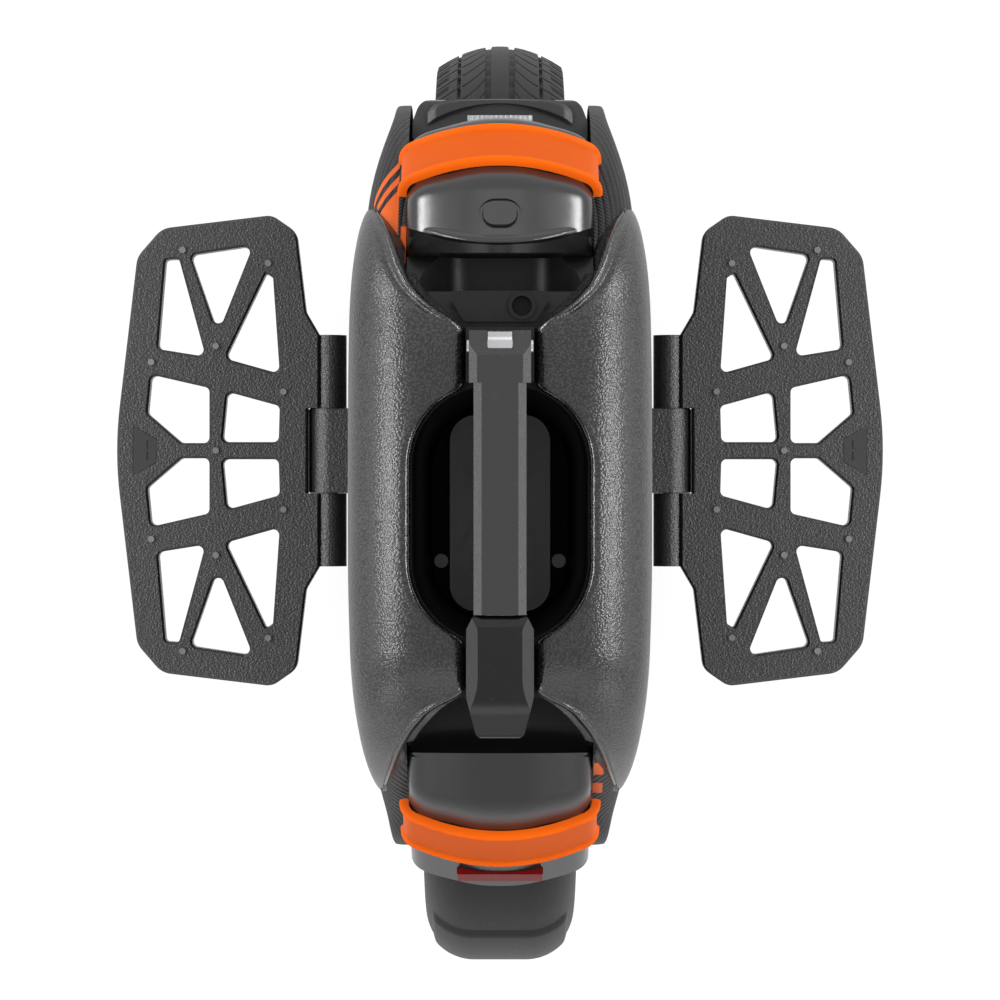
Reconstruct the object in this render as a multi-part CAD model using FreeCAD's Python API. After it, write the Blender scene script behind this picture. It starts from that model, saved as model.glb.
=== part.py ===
import FreeCAD, Part
import math
import os
from FreeCAD import Vector

# Electric unicycle, millimetres. Origin on the ground under the axle, +Z up, +Y to the front,
# +X to the rider's right. Angles round the axle are measured from straight up towards the front.

# Tyre and rim
TYRE_R = 205.0
TYRE_HALF = 31.0
SHOULDER_IN = 1.0
SHOULDER_DROP = 10.5
TREAD_T = 9.0
TYRE_WALL = 5.0
BEAD_R = 152.0
BEAD_HALF = 23.0
BEAD_FIT = 0.1
FLANGE_T = 2.5
FLANGE_H = 8.0
WELL_HALF = 11.0
WELL_DEPTH = 7.0
VALVE_R = 2.5
VALVE_CAP = 0.75
VALVE_L = 6.0

# Hub motor
MAGNET_SEAT_R = 131.0
MAGNET_T = 3.5
MAGNET_COUNT = 28
MAGNET_FILL = 0.9
GLUE = 0.1
AIR_GAP = 0.8
STACK_HALF = 18.0
SLOT_COUNT = 24
SLOT_W = 8.0
SLOT_DEPTH = 26.0
SLOT_FIT = 0.3
END_TURN = 4.5
YOKE_T = 16.0
WEB_HALF = 5.0
WEB_HOLE_R = 11.0
WEB_HOLES = 6
STATOR_HUB_R = 26.0
AXLE_R = 10.0
AXLE_CORE_R = 12.0
AXLE_CORE_HALF = 16.0
AXLE_FLAT = 7.0
AXLE_OVER = 1.0
RUNNING_FIT = 0.05
BEARING_R = 21.0
BEARING_W = 12.0
BEARING_IN = 17.3
COVER_T = 3.5
COVER_R = 146.0
COVER_HUB_R = 27.0
COVER_HUB_EDGE = 4.0
COVER_HUB_CONE = 12.0
SEAL_T = 1.5
SEAL_GAP = 1.0
SCREW_RING_R = 139.0
SCREW_COUNT = 10
SCREW_R = 1.7
SCREW_HEAD_R = 3.2
SCREW_HEAD_H = 1.6
SCREW_GRIP = 7.0
SCREW_FIT = 0.1

# Wheel arch and pedal hangers
ARCH_GAP = 8.0
ARCH_WALL = 2.5
ARCH_SIDE_GAP = 3.0
ARCH_FRONT = 42.0
ARCH_REAR = -76.0
AXLE_SLOT_HALF = 14.0
HANGER_T = 7.0
HANGER_HALF = 30.0
HANGER_UP = 95.0
HANGER_CORNER = 12.0
BOLT_UP = (30.0, 75.0)
BOLT_SIDE = 18.0
BOLT_R = 3.0
BOLT_HEAD_R = 5.0
BOLT_HEAD_H = 3.0
NUT_R = 14.0
NUT_T = 6.0

# Pedals and their brackets
PIN_X = 90.0
PIN_Z = 133.0
PIN_R = 4.0
KNUCKLE_R = 11.0
KNUCKLE_HALF = 22.0
LUG_R = 9.0
LUG_END = 61.0
LUG_GAP = 0.5
PEDAL_NOTCH = 1.5
PEDAL_IN = 95.0
PEDAL_TOP = 10.0
PEDAL_T = 12.0
PEDAL_TIP = 203.0
ARM_TOP = 142.0
ARM_T = 20.0
STUD_R = 1.7
STUD_H = 1.8
STUD_SINK = 4.0
INSERT_T = 3.0
INSERT_FIT = 0.2

# Side shells: stations along Y of top, bottom and half-width
SHELL_WALL = 3.0
SHELL_ROUND = 14.0
SHELL_FOOT_ROUND = 10.0
SHELL_STATIONS = (
    (163.0, 345.0, 322.0, 48.5),
    (155.0, 378.0, 286.0, 50.0),
    (136.0, 415.0, 236.0, 55.0),
    (110.0, 450.0, 198.0, 60.0),
    (70.0, 484.0, 166.0, 61.0),
    (0.0, 494.0, 152.0, 61.0),
    (-60.0, 494.0, 152.0, 61.0),
    (-110.0, 486.0, 166.0, 60.0),
    (-150.0, 440.0, 200.0, 57.0),
    (-177.0, 375.0, 245.0, 53.0),
    (-193.0, 322.0, 285.0, 49.5),
)
BOSS_R = 5.0
SHELL_SCREW_R = 2.0
SHELL_SCREW_HEAD_R = 4.0
SHELL_SCREW_HEAD_H = 2.5
SHELL_SCREW_SINK = 4.0
SHELL_SCREW_L = 14.0
BOSS_SPOTS = ((60.0, 240.0), (-60.0, 240.0), (120.0, 285.0), (-120.0, 285.0))

# Deck, hand well and leg pads
SEAT_GAP = 0.3
DECK_T = 4.0
DECK_FRONT = 50.0
DECK_REAR = -113.7
TRAY_REAR = -137.6
TONGUE_REAR = -142.0
TRAY_Z = 448.0
TRAY_WALL = 2.5
PANEL_FRONT = 67.0
PANEL_REAR = 53.0
PANEL_FRONT_HALF = 24.0
PANEL_REAR_HALF = 16.0
PANEL_T = 2.0
SCOOP_FRONT = 83.0
SCOOP_TOP = ((57.5, 498.0), (75.0, 487.5), (83.0, 477.0))
SCOOP_FLOOR = 466.0
SCOOP_HALF = 20.0
SCOOP_ROUND = 12.0
SCOOP_WALL = 3.0
BRIDGE_TOP = 515.0
BRIDGE_HALF = 15.0
FRONT_BRIDGE = (26.0, 50.0)
REAR_BRIDGE = (-113.0, -90.0)
WELL_Y = -32.0
WELL_LENGTH = 57.0
WELL_WIDTH = 39.0
WELL_TAPER = 8.0
WELL_FLOOR_Z = 431.0
WELL_WALL = 2.5
WELL_FLANGE = 3.0
WELL_ROUND = 36.0
FLOOR_T = 4.0
FLOOR_HALF = 23.0
FLOOR_END = 4.0
DISH_D = 2.0
DISH_HALF = 17.5
DISH_ROUND = 14.0
DISH_BRIDGE = 16.0
DISH_Y = -26.0
DISH_MARGIN = 5.0
WELL_SCREW_X = 27.0
WELL_SCREW_Y = -54.0
PAD_CHANNEL = 15.6
PAD_RISE = 22.0
PAD_T = 7.0
PAD_ROUND = 32.0
PAD_FOOT = 296.0
PAD_STATIONS = (
    (107.0, 0.1),
    (85.0, 0.75),
    (52.0, 1.0),
    (-26.0, 1.0),
    (-95.0, 1.0),
    (-128.0, 0.9),
    (-150.0, 0.5),
    (-161.0, 0.1),
)

# Covers, straps and lamps
COVER_HALF = 42.0
COVER_WALL = 3.0
COVER_EDGE = 4.0
CROWN_R = 82.0
CROWN_SLICES = (0.0, 14.0, 28.0, 38.0)
HOOD_LEAD = 0.6
REAR_LEAD = 1.0
OPEN_END = 3.0
OPEN_FOOT = 8.0
LEAST_TURN = 1.0
HOOD_LINE = ((84.0, 492.0), (118.0, 474.0, 22.0), (150.0, 425.0, 12.0), (152.0, 388.0))
HOOD_FOOT = (95.0, 430.0)
REAR_LINE = ((-140.0, 470.0), (-168.0, 444.0, 40.0), (-209.0, 366.0))
REAR_FOOT = (-138.0, 420.0)
STRAP_W = 34.0
STRAP_T = 3.5
STRAP_ROLL = 5.0
STRAP_ROLL_W = 7.0
STRAP_DROP = 16.0
STRAP_TANGENTS = (0.0, 24.0, 40.0)
STRAP_TURN = 6.0
FRONT_STRAP_AT = 0.5
REAR_STRAP_AT = 0.44
FENDER_FRONT = 163.0
FENDER_TOP = 387.5
FENDER_LOW = 366.0
FENDER_HALF = 41.0
FENDER_TIP_HALF = 37.0
FENDER_ROUND = 9.0
FENDER_EDGE = 3.0
LENS_HALF = 15.0
LENS_H = 22.0
LENS_T = 4.0
LENS_Z = 405.0
LAMP_DEPTH = 16.0
TAIL_HALF = 20.0
TAIL_H = 8.0
TAIL_T = 3.0
TAIL_AT = 0.86
GUARD_GAP = 39.5
GUARD_T = 3.0
GUARD_HALF = 37.0
GUARD_FRONT = -45.0
GUARD_ROUND = 24.0
GUARD_REAR = -101.0
GUARD_LIP = 28.0
GUARD_ARM = (-70.0, -63.0)
GUARD_ARM_T = 5.0
BUTTON_L = 15.0
BUTTON_W = 12.0
BUTTON_PROUD = 0.6
BUTTON_ROUND = 5.5
BUTTON_RIM = 2.0
BUTTON_RIM_D = 1.0
BUTTON_FIT = 0.4
BUTTON_FLANGE = 1.5
BUTTON_AT = 0.53
PORT_X = 9.7
PORT_Y = 60.0
PORT_R = 4.5
PORT_RING_R = 6.0
PORT_L = 14.0
PORT_LIP = 1.2
PORT_WALL = 0.9
PORT_BASE = 2.0

# Carrying handle with two telescopic stages
HINGE_Y = 41.0
HINGE_Z = 529.0
HINGE_R = 3.0
LUG_HALF = 5.3
HINGE_LUG_R = 7.0
BAR_H = 20.0
BAR_HALF = 11.5
BAR_NOSE_HALF = 13.5
BAR_FRONT = 7.0
BAR_REAR = -76.0
BAR_NOSE = 16.0
BAR_BORE_END = 27.0
BAR_WALL = 2.5
BAR_BEVEL = 3.5
LUG_CLEAR = 2.0
FACET_L = 11.0
FACET_DROP = 8.0
TUBE_FIT = 0.3
TUBE_WALL = 2.2
HEAD_REAR = -130.0
HEAD_HALF = 14.7
HEAD_OVER = 1.0
HEAD_TAPER = 4.5
HEAD_CHAMFER = 5.0
HEAD_SLOPE = 18.0
HEAD_DROP = 12.0
HEAD_BEND = 30.0
HEAD_BROW = 6.0
HEAD_EDGE = 3.0
TRIGGER_Y = -121.0
TRIGGER_L = 8.0
TRIGGER_HALF = 6.0
TRIGGER_OUT = 2.5
TRIGGER_T = 7.0

# Electrics inside
BATTERY_Y = (-105.0, 90.0)
BATTERY_Z = (308.0, 430.0)
BATTERY_OUT = 2.0
BATTERY_ROUND = 4.0
SINK_AT = 21.0
SINK_HALF = 30.0
SINK_L = 50.0
SINK_T = 10.0
FIN_COUNT = 6
FIN_GAP_W = 4.0
FIN_GAP_D = 5.0
BOARD_T = 2.0
PART_PITCH = 18.0
CAPACITOR_R = 6.0
CAPACITOR_H = 14.0
CAPACITOR_Y = 12.0
TERMINAL_Y = (-20.0, -8.0)
TERMINAL_H = 8.0
SPEAKER_AT = -42.0
SPEAKER_R = 20.0
SPEAKER_H = 16.0
CABLE_R = 2.8
CABLE_BEND = 18.0
CABLE_LOW_Z = 285.0
CABLE_Y = 100.0
CABLE_TOP_Z = 406.0

# Sizes that follow from the ones above
AXLE_Z = TYRE_R
RIM_HALF = BEAD_HALF + FLANGE_T
SHELL_IN = COVER_HALF + SEAT_GAP
FLANGE_R = BEAD_R + FLANGE_H
COVER_FACE = RIM_HALF + COVER_T
HUB_FACE = BEARING_IN + BEARING_W + SEAL_T
ROTOR_R = MAGNET_SEAT_R - GLUE - MAGNET_T
STATOR_R = ROTOR_R - AIR_GAP
ARCH_R = TYRE_R + ARCH_GAP
ARCH_OUT_R = ARCH_R + ARCH_WALL
GUARD_R = ARCH_OUT_R + GUARD_GAP
ARCH_IN = TYRE_HALF + ARCH_SIDE_GAP
ARCH_HALF = ARCH_IN + ARCH_WALL
HANGER_OUT = ARCH_HALF + HANGER_T
AXLE_END = HANGER_OUT + NUT_T + AXLE_OVER
PEDAL_TOP_Z = PIN_Z + PEDAL_TOP
PEDAL_LOW_Z = PEDAL_TOP_Z - PEDAL_T
DECK_TOP = max(station[1] for station in SHELL_STATIONS) + DECK_T
DECK_LOW = DECK_TOP - DECK_T
BAR_LOW = HINGE_Z - BAR_H / 2
BAR_TOP = HINGE_Z + BAR_H / 2
X_AXIS = Vector(1, 0, 0)
Y_AXIS = Vector(0, 1, 0)
Z_AXIS = Vector(0, 0, 1)
AXLE = Vector(0, 0, AXLE_Z)


def outline(corners, place):
    """Closed wire through (u, v) or (u, v, radius) corners; a radius makes a tangent arc."""
    spots = [Vector(c[0], c[1], 0) for c in corners]
    radii = [c[2] if len(c) > 2 else 0.0 for c in corners]
    count = len(spots)
    runs = []
    for i in range(count):
        back = (spots[i - 1] - spots[i]).normalize()
        ahead = (spots[(i + 1) % count] - spots[i]).normalize()
        half = back.getAngle(ahead) / 2
        reach = radii[i] / math.tan(half)
        middle = (back + ahead).normalize() * (radii[i] / math.sin(half) - radii[i])
        runs.append((spots[i] + back * reach, spots[i] + middle, spots[i] + ahead * reach))
    edges = []
    for i in range(count):
        start, middle, end = [place(p.x, p.y) for p in runs[i]]
        if radii[i] > 0:
            edges.append(Part.Arc(start, middle, end).toShape())
        following = place(runs[(i + 1) % count][0].x, runs[(i + 1) % count][0].y)
        if (following - end).Length > 1e-6:
            edges.append(Part.makeLine(end, following))
    return Part.Wire(edges)


def prism_x(corners, x0, x1):
    """Solid with a (Y, Z) outline between two X planes."""
    return Part.Face(outline(corners, lambda u, v: Vector(x0, u, v))).extrude(X_AXIS * (x1 - x0))


def prism_y(corners, y0, y1):
    """Solid with an (X, Z) outline between two Y planes."""
    return Part.Face(outline(corners, lambda u, v: Vector(u, y0, v))).extrude(Y_AXIS * (y1 - y0))


def prism_z(corners, z0, z1):
    """Solid with an (X, Y) outline between two Z planes."""
    return Part.Face(outline(corners, lambda u, v: Vector(u, v, z0))).extrude(Z_AXIS * (z1 - z0))


def block(x, y, z):
    """Box between pairs of limits."""
    return Part.makeBox(x[1] - x[0], y[1] - y[0], z[1] - z[0], Vector(x[0], y[0], z[0]))


def ring(corners, angle=360.0):
    """Solid of an (X, radius) outline turned round the axle line from straight up to the rear."""
    face = Part.Face(outline(corners, lambda u, v: Vector(u, 0, AXLE_Z + v)))
    return face.revolve(AXLE, X_AXIS, angle)


def sector(corners, first, last):
    """Solid of an (X, radius) outline between two angles round the axle line."""
    solid = ring(corners, last - first)
    solid.rotate(AXLE, X_AXIS, -last)
    return solid


def rod_x(x0, x1, y, z, radius):
    """Cylinder along X."""
    return Part.makeCylinder(radius, x1 - x0, Vector(x0, y, z), X_AXIS)


def mirrored(shape):
    """The same piece on the other side of the machine."""
    return shape.mirror(Vector(0, 0, 0), X_AXIS)


def both_sides(shapes):
    """Group of like solids on the right with their mirror images on the left."""
    return Part.makeCompound(shapes + [mirrored(shape) for shape in shapes])


def cover_screw_spots(x0, x1, radius):
    """Cylinders on the motor cover's screw circle."""
    spots = []
    for i in range(SCREW_COUNT):
        turn = 2 * math.pi * i / SCREW_COUNT
        y = SCREW_RING_R * math.sin(turn)
        z = AXLE_Z + SCREW_RING_R * math.cos(turn)
        spots.append(rod_x(x0, x1, y, z, radius))
    return spots


def tyre():
    """Hollow tyre: bead, bulged wall and crowned tread as three arcs a side."""
    shoulder = TYRE_HALF - SHOULDER_IN
    shoulder_r = TYRE_R - SHOULDER_DROP
    middle_r = (FLANGE_R + shoulder_r) / 2

    def spot(x, r):
        return Vector(x, 0, AXLE_Z + r)

    def side(sign):
        bead, wall = BEAD_HALF, TYRE_WALL
        foot_r = BEAD_R + BEAD_FIT
        outside = [spot(sign * bead, foot_r), spot(sign * bead, FLANGE_R),
                   spot(sign * TYRE_HALF, middle_r), spot(sign * shoulder, shoulder_r)]
        inside = [spot(sign * (bead - wall), foot_r), spot(sign * (bead - wall), FLANGE_R),
                  spot(sign * (TYRE_HALF - wall), middle_r),
                  spot(sign * (shoulder - wall), shoulder_r - TREAD_T / 2)]
        edges = [Part.makeLine(inside[0], outside[0])]
        for line in (outside, inside):
            edges.append(Part.makeLine(line[0], line[1]))
            edges.append(Part.Arc(line[1], line[2], line[3]).toShape())
        return edges, outside[3], inside[3]

    right, right_out, right_in = side(1)
    left, left_out, left_in = side(-1)
    crown = Part.Arc(right_out, spot(0, TYRE_R), left_out).toShape()
    lining = Part.Arc(right_in, spot(0, TYRE_R - TREAD_T), left_in).toShape()
    wire = Part.Wire(Part.sortEdges(right + left + [crown, lining])[0])
    return Part.Face(wire).revolve(AXLE, X_AXIS, 360)


def rim():
    """Rotor ring and rim in one: magnet seat inside, bead seats, flanges and a drop well outside."""
    well_r = BEAD_R - WELL_DEPTH
    half = [(RIM_HALF, MAGNET_SEAT_R), (RIM_HALF, FLANGE_R), (BEAD_HALF, FLANGE_R),
            (BEAD_HALF, BEAD_R), (WELL_HALF + WELL_DEPTH / 2, BEAD_R), (WELL_HALF, well_r)]
    body = ring(half + [(-x, r) for x, r in reversed(half)])
    depth = RIM_HALF - SCREW_GRIP + COVER_T - SCREW_FIT
    holes = cover_screw_spots(depth, RIM_HALF, SCREW_R + SCREW_FIT)
    return body.cut(both_sides(holes))


def magnets():
    """Rotor magnets, curved tiles glued to the rotor ring."""
    pitch = 360.0 / MAGNET_COUNT
    outer = MAGNET_SEAT_R - GLUE
    tile = [(-STACK_HALF, ROTOR_R), (STACK_HALF, ROTOR_R), (STACK_HALF, outer), (-STACK_HALF, outer)]
    return Part.makeCompound([sector(tile, i * pitch, (i + MAGNET_FILL) * pitch)
                              for i in range(MAGNET_COUNT)])


def motor_cover():
    """Right motor side cover: thin disc with a bearing housing and a seal lip."""
    lip = HUB_FACE - SEAL_T
    body = ring([(BEARING_IN, BEARING_R), (BEARING_IN, COVER_HUB_R), (RIM_HALF, COVER_HUB_R + COVER_HUB_EDGE),
                 (RIM_HALF, COVER_R), (COVER_FACE, COVER_R), (COVER_FACE, COVER_HUB_R + COVER_HUB_CONE),
                 (HUB_FACE, COVER_HUB_R + COVER_HUB_EDGE), (HUB_FACE, AXLE_R + SEAL_GAP),
                 (lip, AXLE_R + SEAL_GAP), (lip, BEARING_R)])
    holes = cover_screw_spots(RIM_HALF, COVER_FACE, SCREW_R + SCREW_FIT)
    return body.cut(Part.makeCompound(holes))


def bearing():
    """Right wheel bearing: a plain ring with a running fit on the axle."""
    bore = AXLE_R + RUNNING_FIT
    end = BEARING_IN + BEARING_W
    return ring([(BEARING_IN, bore), (end, bore), (end, BEARING_R), (BEARING_IN, BEARING_R)])


def cover_screws():
    """Motor cover screws, head and shank."""
    shanks = cover_screw_spots(COVER_FACE - SCREW_GRIP + 2 * SCREW_FIT, COVER_FACE, SCREW_R)
    heads = cover_screw_spots(COVER_FACE, COVER_FACE + SCREW_HEAD_H, SCREW_HEAD_R)
    return both_sides([shank.fuse(head) for shank, head in zip(shanks, heads)])


def valve_stem():
    """Tyre valve on the right rim flange."""
    height = AXLE_Z - COVER_R - VALVE_R - SEAT_GAP
    stem = rod_x(RIM_HALF, RIM_HALF + VALVE_L / 2, 0, height, VALVE_R)
    cap = rod_x(RIM_HALF + VALVE_L / 2, RIM_HALF + VALVE_L, 0, height, VALVE_R * VALVE_CAP)
    return stem.fuse(cap)


def stator_slots(width, inner, outer, half):
    """Boxes in the stator slots."""
    boxes = []
    for i in range(SLOT_COUNT):
        box = block((-half, half), (-width / 2, width / 2), (AXLE_Z + inner, AXLE_Z + outer))
        box.rotate(AXLE, X_AXIS, 360.0 * i / SLOT_COUNT)
        boxes.append(box)
    return boxes


def stator():
    """Laminated stator: slotted ring, thin web with holes and a hub on the axle."""
    slot_r = STATOR_R - SLOT_DEPTH
    yoke_r = slot_r - YOKE_T
    half = [(STACK_HALF, STATOR_R), (STACK_HALF, yoke_r), (WEB_HALF, yoke_r),
            (WEB_HALF, STATOR_HUB_R), (AXLE_CORE_HALF, STATOR_HUB_R), (AXLE_CORE_HALF, AXLE_CORE_R)]
    body = ring(half + [(-x, r) for x, r in reversed(half)])
    cuts = stator_slots(SLOT_W, slot_r, STATOR_R + AIR_GAP, STACK_HALF)
    for i in range(WEB_HOLES):
        hole = rod_x(-WEB_HALF, WEB_HALF, 0, AXLE_Z + (STATOR_HUB_R + yoke_r) / 2, WEB_HOLE_R)
        hole.rotate(AXLE, X_AXIS, 360.0 * i / WEB_HOLES)
        cuts.append(hole)
    return body.cut(Part.makeCompound(cuts))


def windings():
    """Copper in the stator slots with the end turns standing past the stack."""
    slot_r = STATOR_R - SLOT_DEPTH
    return Part.makeCompound(stator_slots(SLOT_W - 2 * SLOT_FIT, slot_r + SLOT_FIT,
                                          STATOR_R - SLOT_FIT, STACK_HALF + END_TURN))


def axle_flats(grow):
    """Cutter for the two flats at both axle ends, outside the wheel arch."""
    deep = AXLE_R + 1
    cuts = []
    for low, high in ((AXLE_FLAT + grow, deep), (-deep, -AXLE_FLAT - grow)):
        cuts.append(block((ARCH_HALF, HANGER_OUT), (-deep, deep), (AXLE_Z + low, AXLE_Z + high)))
    return both_sides(cuts)


def axle():
    """Fixed axle: stator seat in the middle, bearing journals and flats in the hangers."""
    body = rod_x(-AXLE_END, AXLE_END, 0, AXLE_Z, AXLE_R)
    body = body.fuse(rod_x(-AXLE_CORE_HALF, AXLE_CORE_HALF, 0, AXLE_Z, AXLE_CORE_R))
    return body.cut(axle_flats(0))


def axle_nuts():
    """Hexagon nuts outside the hangers."""
    corners = [(NUT_R * math.cos(math.radians(60 * i)), AXLE_Z + NUT_R * math.sin(math.radians(60 * i)))
               for i in range(6)]
    nut = prism_x(corners, HANGER_OUT, HANGER_OUT + NUT_T)
    bore = rod_x(HANGER_OUT, HANGER_OUT + NUT_T, 0, AXLE_Z, AXLE_R + SCREW_FIT)
    return both_sides([nut.cut(bore)])


def station_at(y):
    """Top, bottom and half-width of the side shell at one Y, between its stations."""
    for ahead, behind in zip(SHELL_STATIONS, SHELL_STATIONS[1:]):
        if ahead[0] >= y >= behind[0]:
            share = (ahead[0] - y) / (ahead[0] - behind[0])
            return [a + (b - a) * share for a, b in zip(ahead[1:], behind[1:])]


def shell_form(inset, inner):
    """Loft through the shell stations from an inner X plane to the outer skin, set in by inset."""
    wires = []
    last = len(SHELL_STATIONS) - 1
    for i, (y, top, low, half) in enumerate(SHELL_STATIONS):
        y += inset * ((i == last) - (i == 0))
        top, low, half = top - inset, low + inset, half - inset
        limit = min(0.8 * (half - inner), 0.4 * (top - low))
        corners = [(inner, low), (half, low, min(SHELL_FOOT_ROUND, limit)),
                   (half, top, min(SHELL_ROUND, limit)), (inner, top)]
        wires.append(outline(corners, lambda u, v, y=y: Vector(u, y, v)))
    return Part.makeLoft(wires, True, False)


def shell_screw(y, z, grow):
    """One shell screw, its head sunk in the skin; grow makes the hole for it."""
    face = station_at(y)[2] - SHELL_SCREW_SINK
    head_top = face + SHELL_SCREW_HEAD_H if grow == 0 else face + 2 * SHELL_SCREW_SINK
    head = rod_x(face, head_top, y, z, SHELL_SCREW_HEAD_R + grow)
    return head.fuse(rod_x(face - SHELL_SCREW_L - grow, face, y, z, SHELL_SCREW_R + grow))


def side_shell():
    """Right side shell: a deep tray round the battery with bosses that reach the wheel arch."""
    body = shell_form(0, SHELL_IN).cut(shell_form(SHELL_WALL, SHELL_IN - 1))
    for y, z in BOSS_SPOTS:
        inside = station_at(y)[2] - SHELL_WALL / 2
        body = body.fuse(rod_x(ARCH_HALF, inside, y, z, BOSS_R))
    hanger_side = HANGER_HALF + SEAT_GAP
    hanger = block((0, HANGER_OUT + SEAT_GAP), (-hanger_side, hanger_side), (0, AXLE_Z))
    return body.cut(Part.makeCompound([shell_screw(y, z, SCREW_FIT) for y, z in BOSS_SPOTS] + [hanger]))


def shell_screws():
    """Screws that hold both side shells to the arch, and the two in the hand well."""
    floor = Vector(WELL_SCREW_X, WELL_SCREW_Y, WELL_FLOOR_Z - FLOOR_T)
    screws = [shell_screw(y, z, 0) for y, z in BOSS_SPOTS]
    return both_sides(screws + [Part.makeCylinder(SCREW_HEAD_R, SCREW_HEAD_H, floor)])


def hanger_bolt_spots(x0, x1, radius):
    """Cylinders where the right hanger is bolted to the arch."""
    return [rod_x(x0, x1, side * BOLT_SIDE, AXLE_Z + up, radius) for side in (-1, 1) for up in BOLT_UP]


def bracket_bolt_spots(x0, x1, radius):
    """Cylinders where the right pedal bracket is bolted to its hanger."""
    return [rod_x(x0, x1, side * BOLT_SIDE * 0.7, ARM_TOP - ARM_T / 2, radius) for side in (-1, 1)]


def wheel_arch():
    """Inner mudguard: band over the tyre with two side walls, slotted for the axle."""
    section = [(-ARCH_HALF, ARCH_R), (ARCH_HALF, ARCH_R), (ARCH_HALF, ARCH_OUT_R), (-ARCH_HALF, ARCH_OUT_R)]
    body = sector(section, ARCH_REAR, ARCH_FRONT)
    skirt = [(y, top) for y, top, low, half in SHELL_STATIONS]
    skirt += [(y, low) for y, top, low, half in reversed(SHELL_STATIONS)]
    wall = rod_x(ARCH_IN, ARCH_HALF, 0, AXLE_Z, ARCH_OUT_R).common(prism_x(skirt, ARCH_IN, ARCH_HALF))
    slot_top = AXLE_Z + AXLE_SLOT_HALF
    wall = wall.cut(block((0, ARCH_HALF), (-AXLE_SLOT_HALF, AXLE_SLOT_HALF), (0, slot_top)))
    wall = wall.cut(Part.makeCompound(hanger_bolt_spots(0, ARCH_HALF, BOLT_R + SCREW_FIT)))
    return body.fuse([wall, mirrored(wall)]).removeSplitter()


def pedal_hanger():
    """Right hanger plate: carries the axle end and the pedal bracket."""
    low = ARM_TOP - ARM_T
    top = AXLE_Z + HANGER_UP
    corners = [(-HANGER_HALF, low, HANGER_CORNER), (HANGER_HALF, low, HANGER_CORNER),
               (HANGER_HALF, top, HANGER_CORNER), (-HANGER_HALF, top, HANGER_CORNER)]
    plate = prism_x(corners, ARCH_HALF, HANGER_OUT)
    bore = rod_x(ARCH_HALF, HANGER_OUT, 0, AXLE_Z, AXLE_R + SCREW_FIT).cut(axle_flats(SCREW_FIT))
    holes = hanger_bolt_spots(ARCH_HALF, HANGER_OUT, BOLT_R + SCREW_FIT)
    holes += bracket_bolt_spots(ARCH_HALF, HANGER_OUT, BOLT_R + SCREW_FIT)
    return plate.cut(Part.makeCompound([bore] + holes))


def hanger_bolts():
    """Bolts of the hangers: into the arch walls from outside, into the brackets from inside."""
    shanks = hanger_bolt_spots(ARCH_IN, HANGER_OUT, BOLT_R)
    heads = hanger_bolt_spots(HANGER_OUT, HANGER_OUT + BOLT_HEAD_H, BOLT_HEAD_R)
    shanks += bracket_bolt_spots(ARCH_HALF, HANGER_OUT + 2 * HANGER_T, BOLT_R)
    heads += bracket_bolt_spots(ARCH_HALF - BOLT_HEAD_H, ARCH_HALF, BOLT_HEAD_R)
    return both_sides([shank.fuse(head) for shank, head in zip(shanks, heads)])


def pedal_bracket():
    """Right pedal bracket: cast arm with the middle hinge knuckle."""
    corners = [(HANGER_OUT, ARM_TOP), (PIN_X, PIN_Z + KNUCKLE_R), (PIN_X, PIN_Z - KNUCKLE_R),
               (HANGER_OUT, ARM_TOP - ARM_T)]
    arm = prism_y(corners, -KNUCKLE_HALF, KNUCKLE_HALF)
    foot = Vector(PIN_X, -KNUCKLE_HALF, PIN_Z)
    arm = arm.fuse(Part.makeCylinder(KNUCKLE_R, 2 * KNUCKLE_HALF, foot, Y_AXIS))
    bore = Part.makeCylinder(PIN_R + RUNNING_FIT, 2 * KNUCKLE_HALF, foot, Y_AXIS)
    holes = bracket_bolt_spots(HANGER_OUT, HANGER_OUT + 2 * HANGER_T + SCREW_FIT, BOLT_R + SCREW_FIT)
    return arm.cut(Part.makeCompound([bore] + holes))


# Right pedal seen from above: half outline, cutouts and studs as (X, Y) on the +Y half
PEDAL_EDGE = ((102.0, 73.0, 6.0), (107.0, 115.0, 9.0), (120.0, 124.0, 9.0), (178.0, 117.0, 12.0),
              (191.0, 102.0, 12.0))
PEDAL_CUTOUTS = (
    ((163.0, 103.0, 3.0), (130.0, 108.0, 3.0), (148.5, 61.5, 3.0)),
    ((176.0, 100.5, 2.0), (169.0, 101.0, 2.0), (155.0, 49.5, 3.0), (180.0, 53.5, 3.0)),
    ((123.0, 93.5, 1.2), (119.5, 91.0, 1.2), (116.0, 40.5, 3.0), (144.5, 48.5, 3.0)),
    ((183.5, 40.0, 3.0), (153.0, 33.0, 3.0), (153.0, 4.0, 3.0), (167.5, 4.0, 3.0), (185.5, 19.5, 3.0)),
    ((143.5, 31.0, 3.0), (116.0, 23.5, 3.0), (116.5, 4.5, 3.0), (146.0, 4.5, 3.0)),
)
PEDAL_STUDS = ((167.0, 105.5), (122.0, 98.5), (149.5, 55.0), (183.5, 46.5), (114.0, 31.0))
MIDDLE_STUD = (149.5, 0.0)
INSERT_CORNERS = ((193.0, 13.0), (181.0, 6.0))
TIP_ROUND = 200.0
LUG_CORNER = 3.0
PEDAL_BEVEL = 1.2


def pedal_stud_spots(low, high, radius):
    """Cylinders at the grip stud positions."""
    spots = [(x, side * y) for x, y in PEDAL_STUDS for side in (-1, 1)] + [MIDDLE_STUD]
    return [Part.makeCylinder(radius, high - low, Vector(x, y, low)) for x, y in spots]


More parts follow.
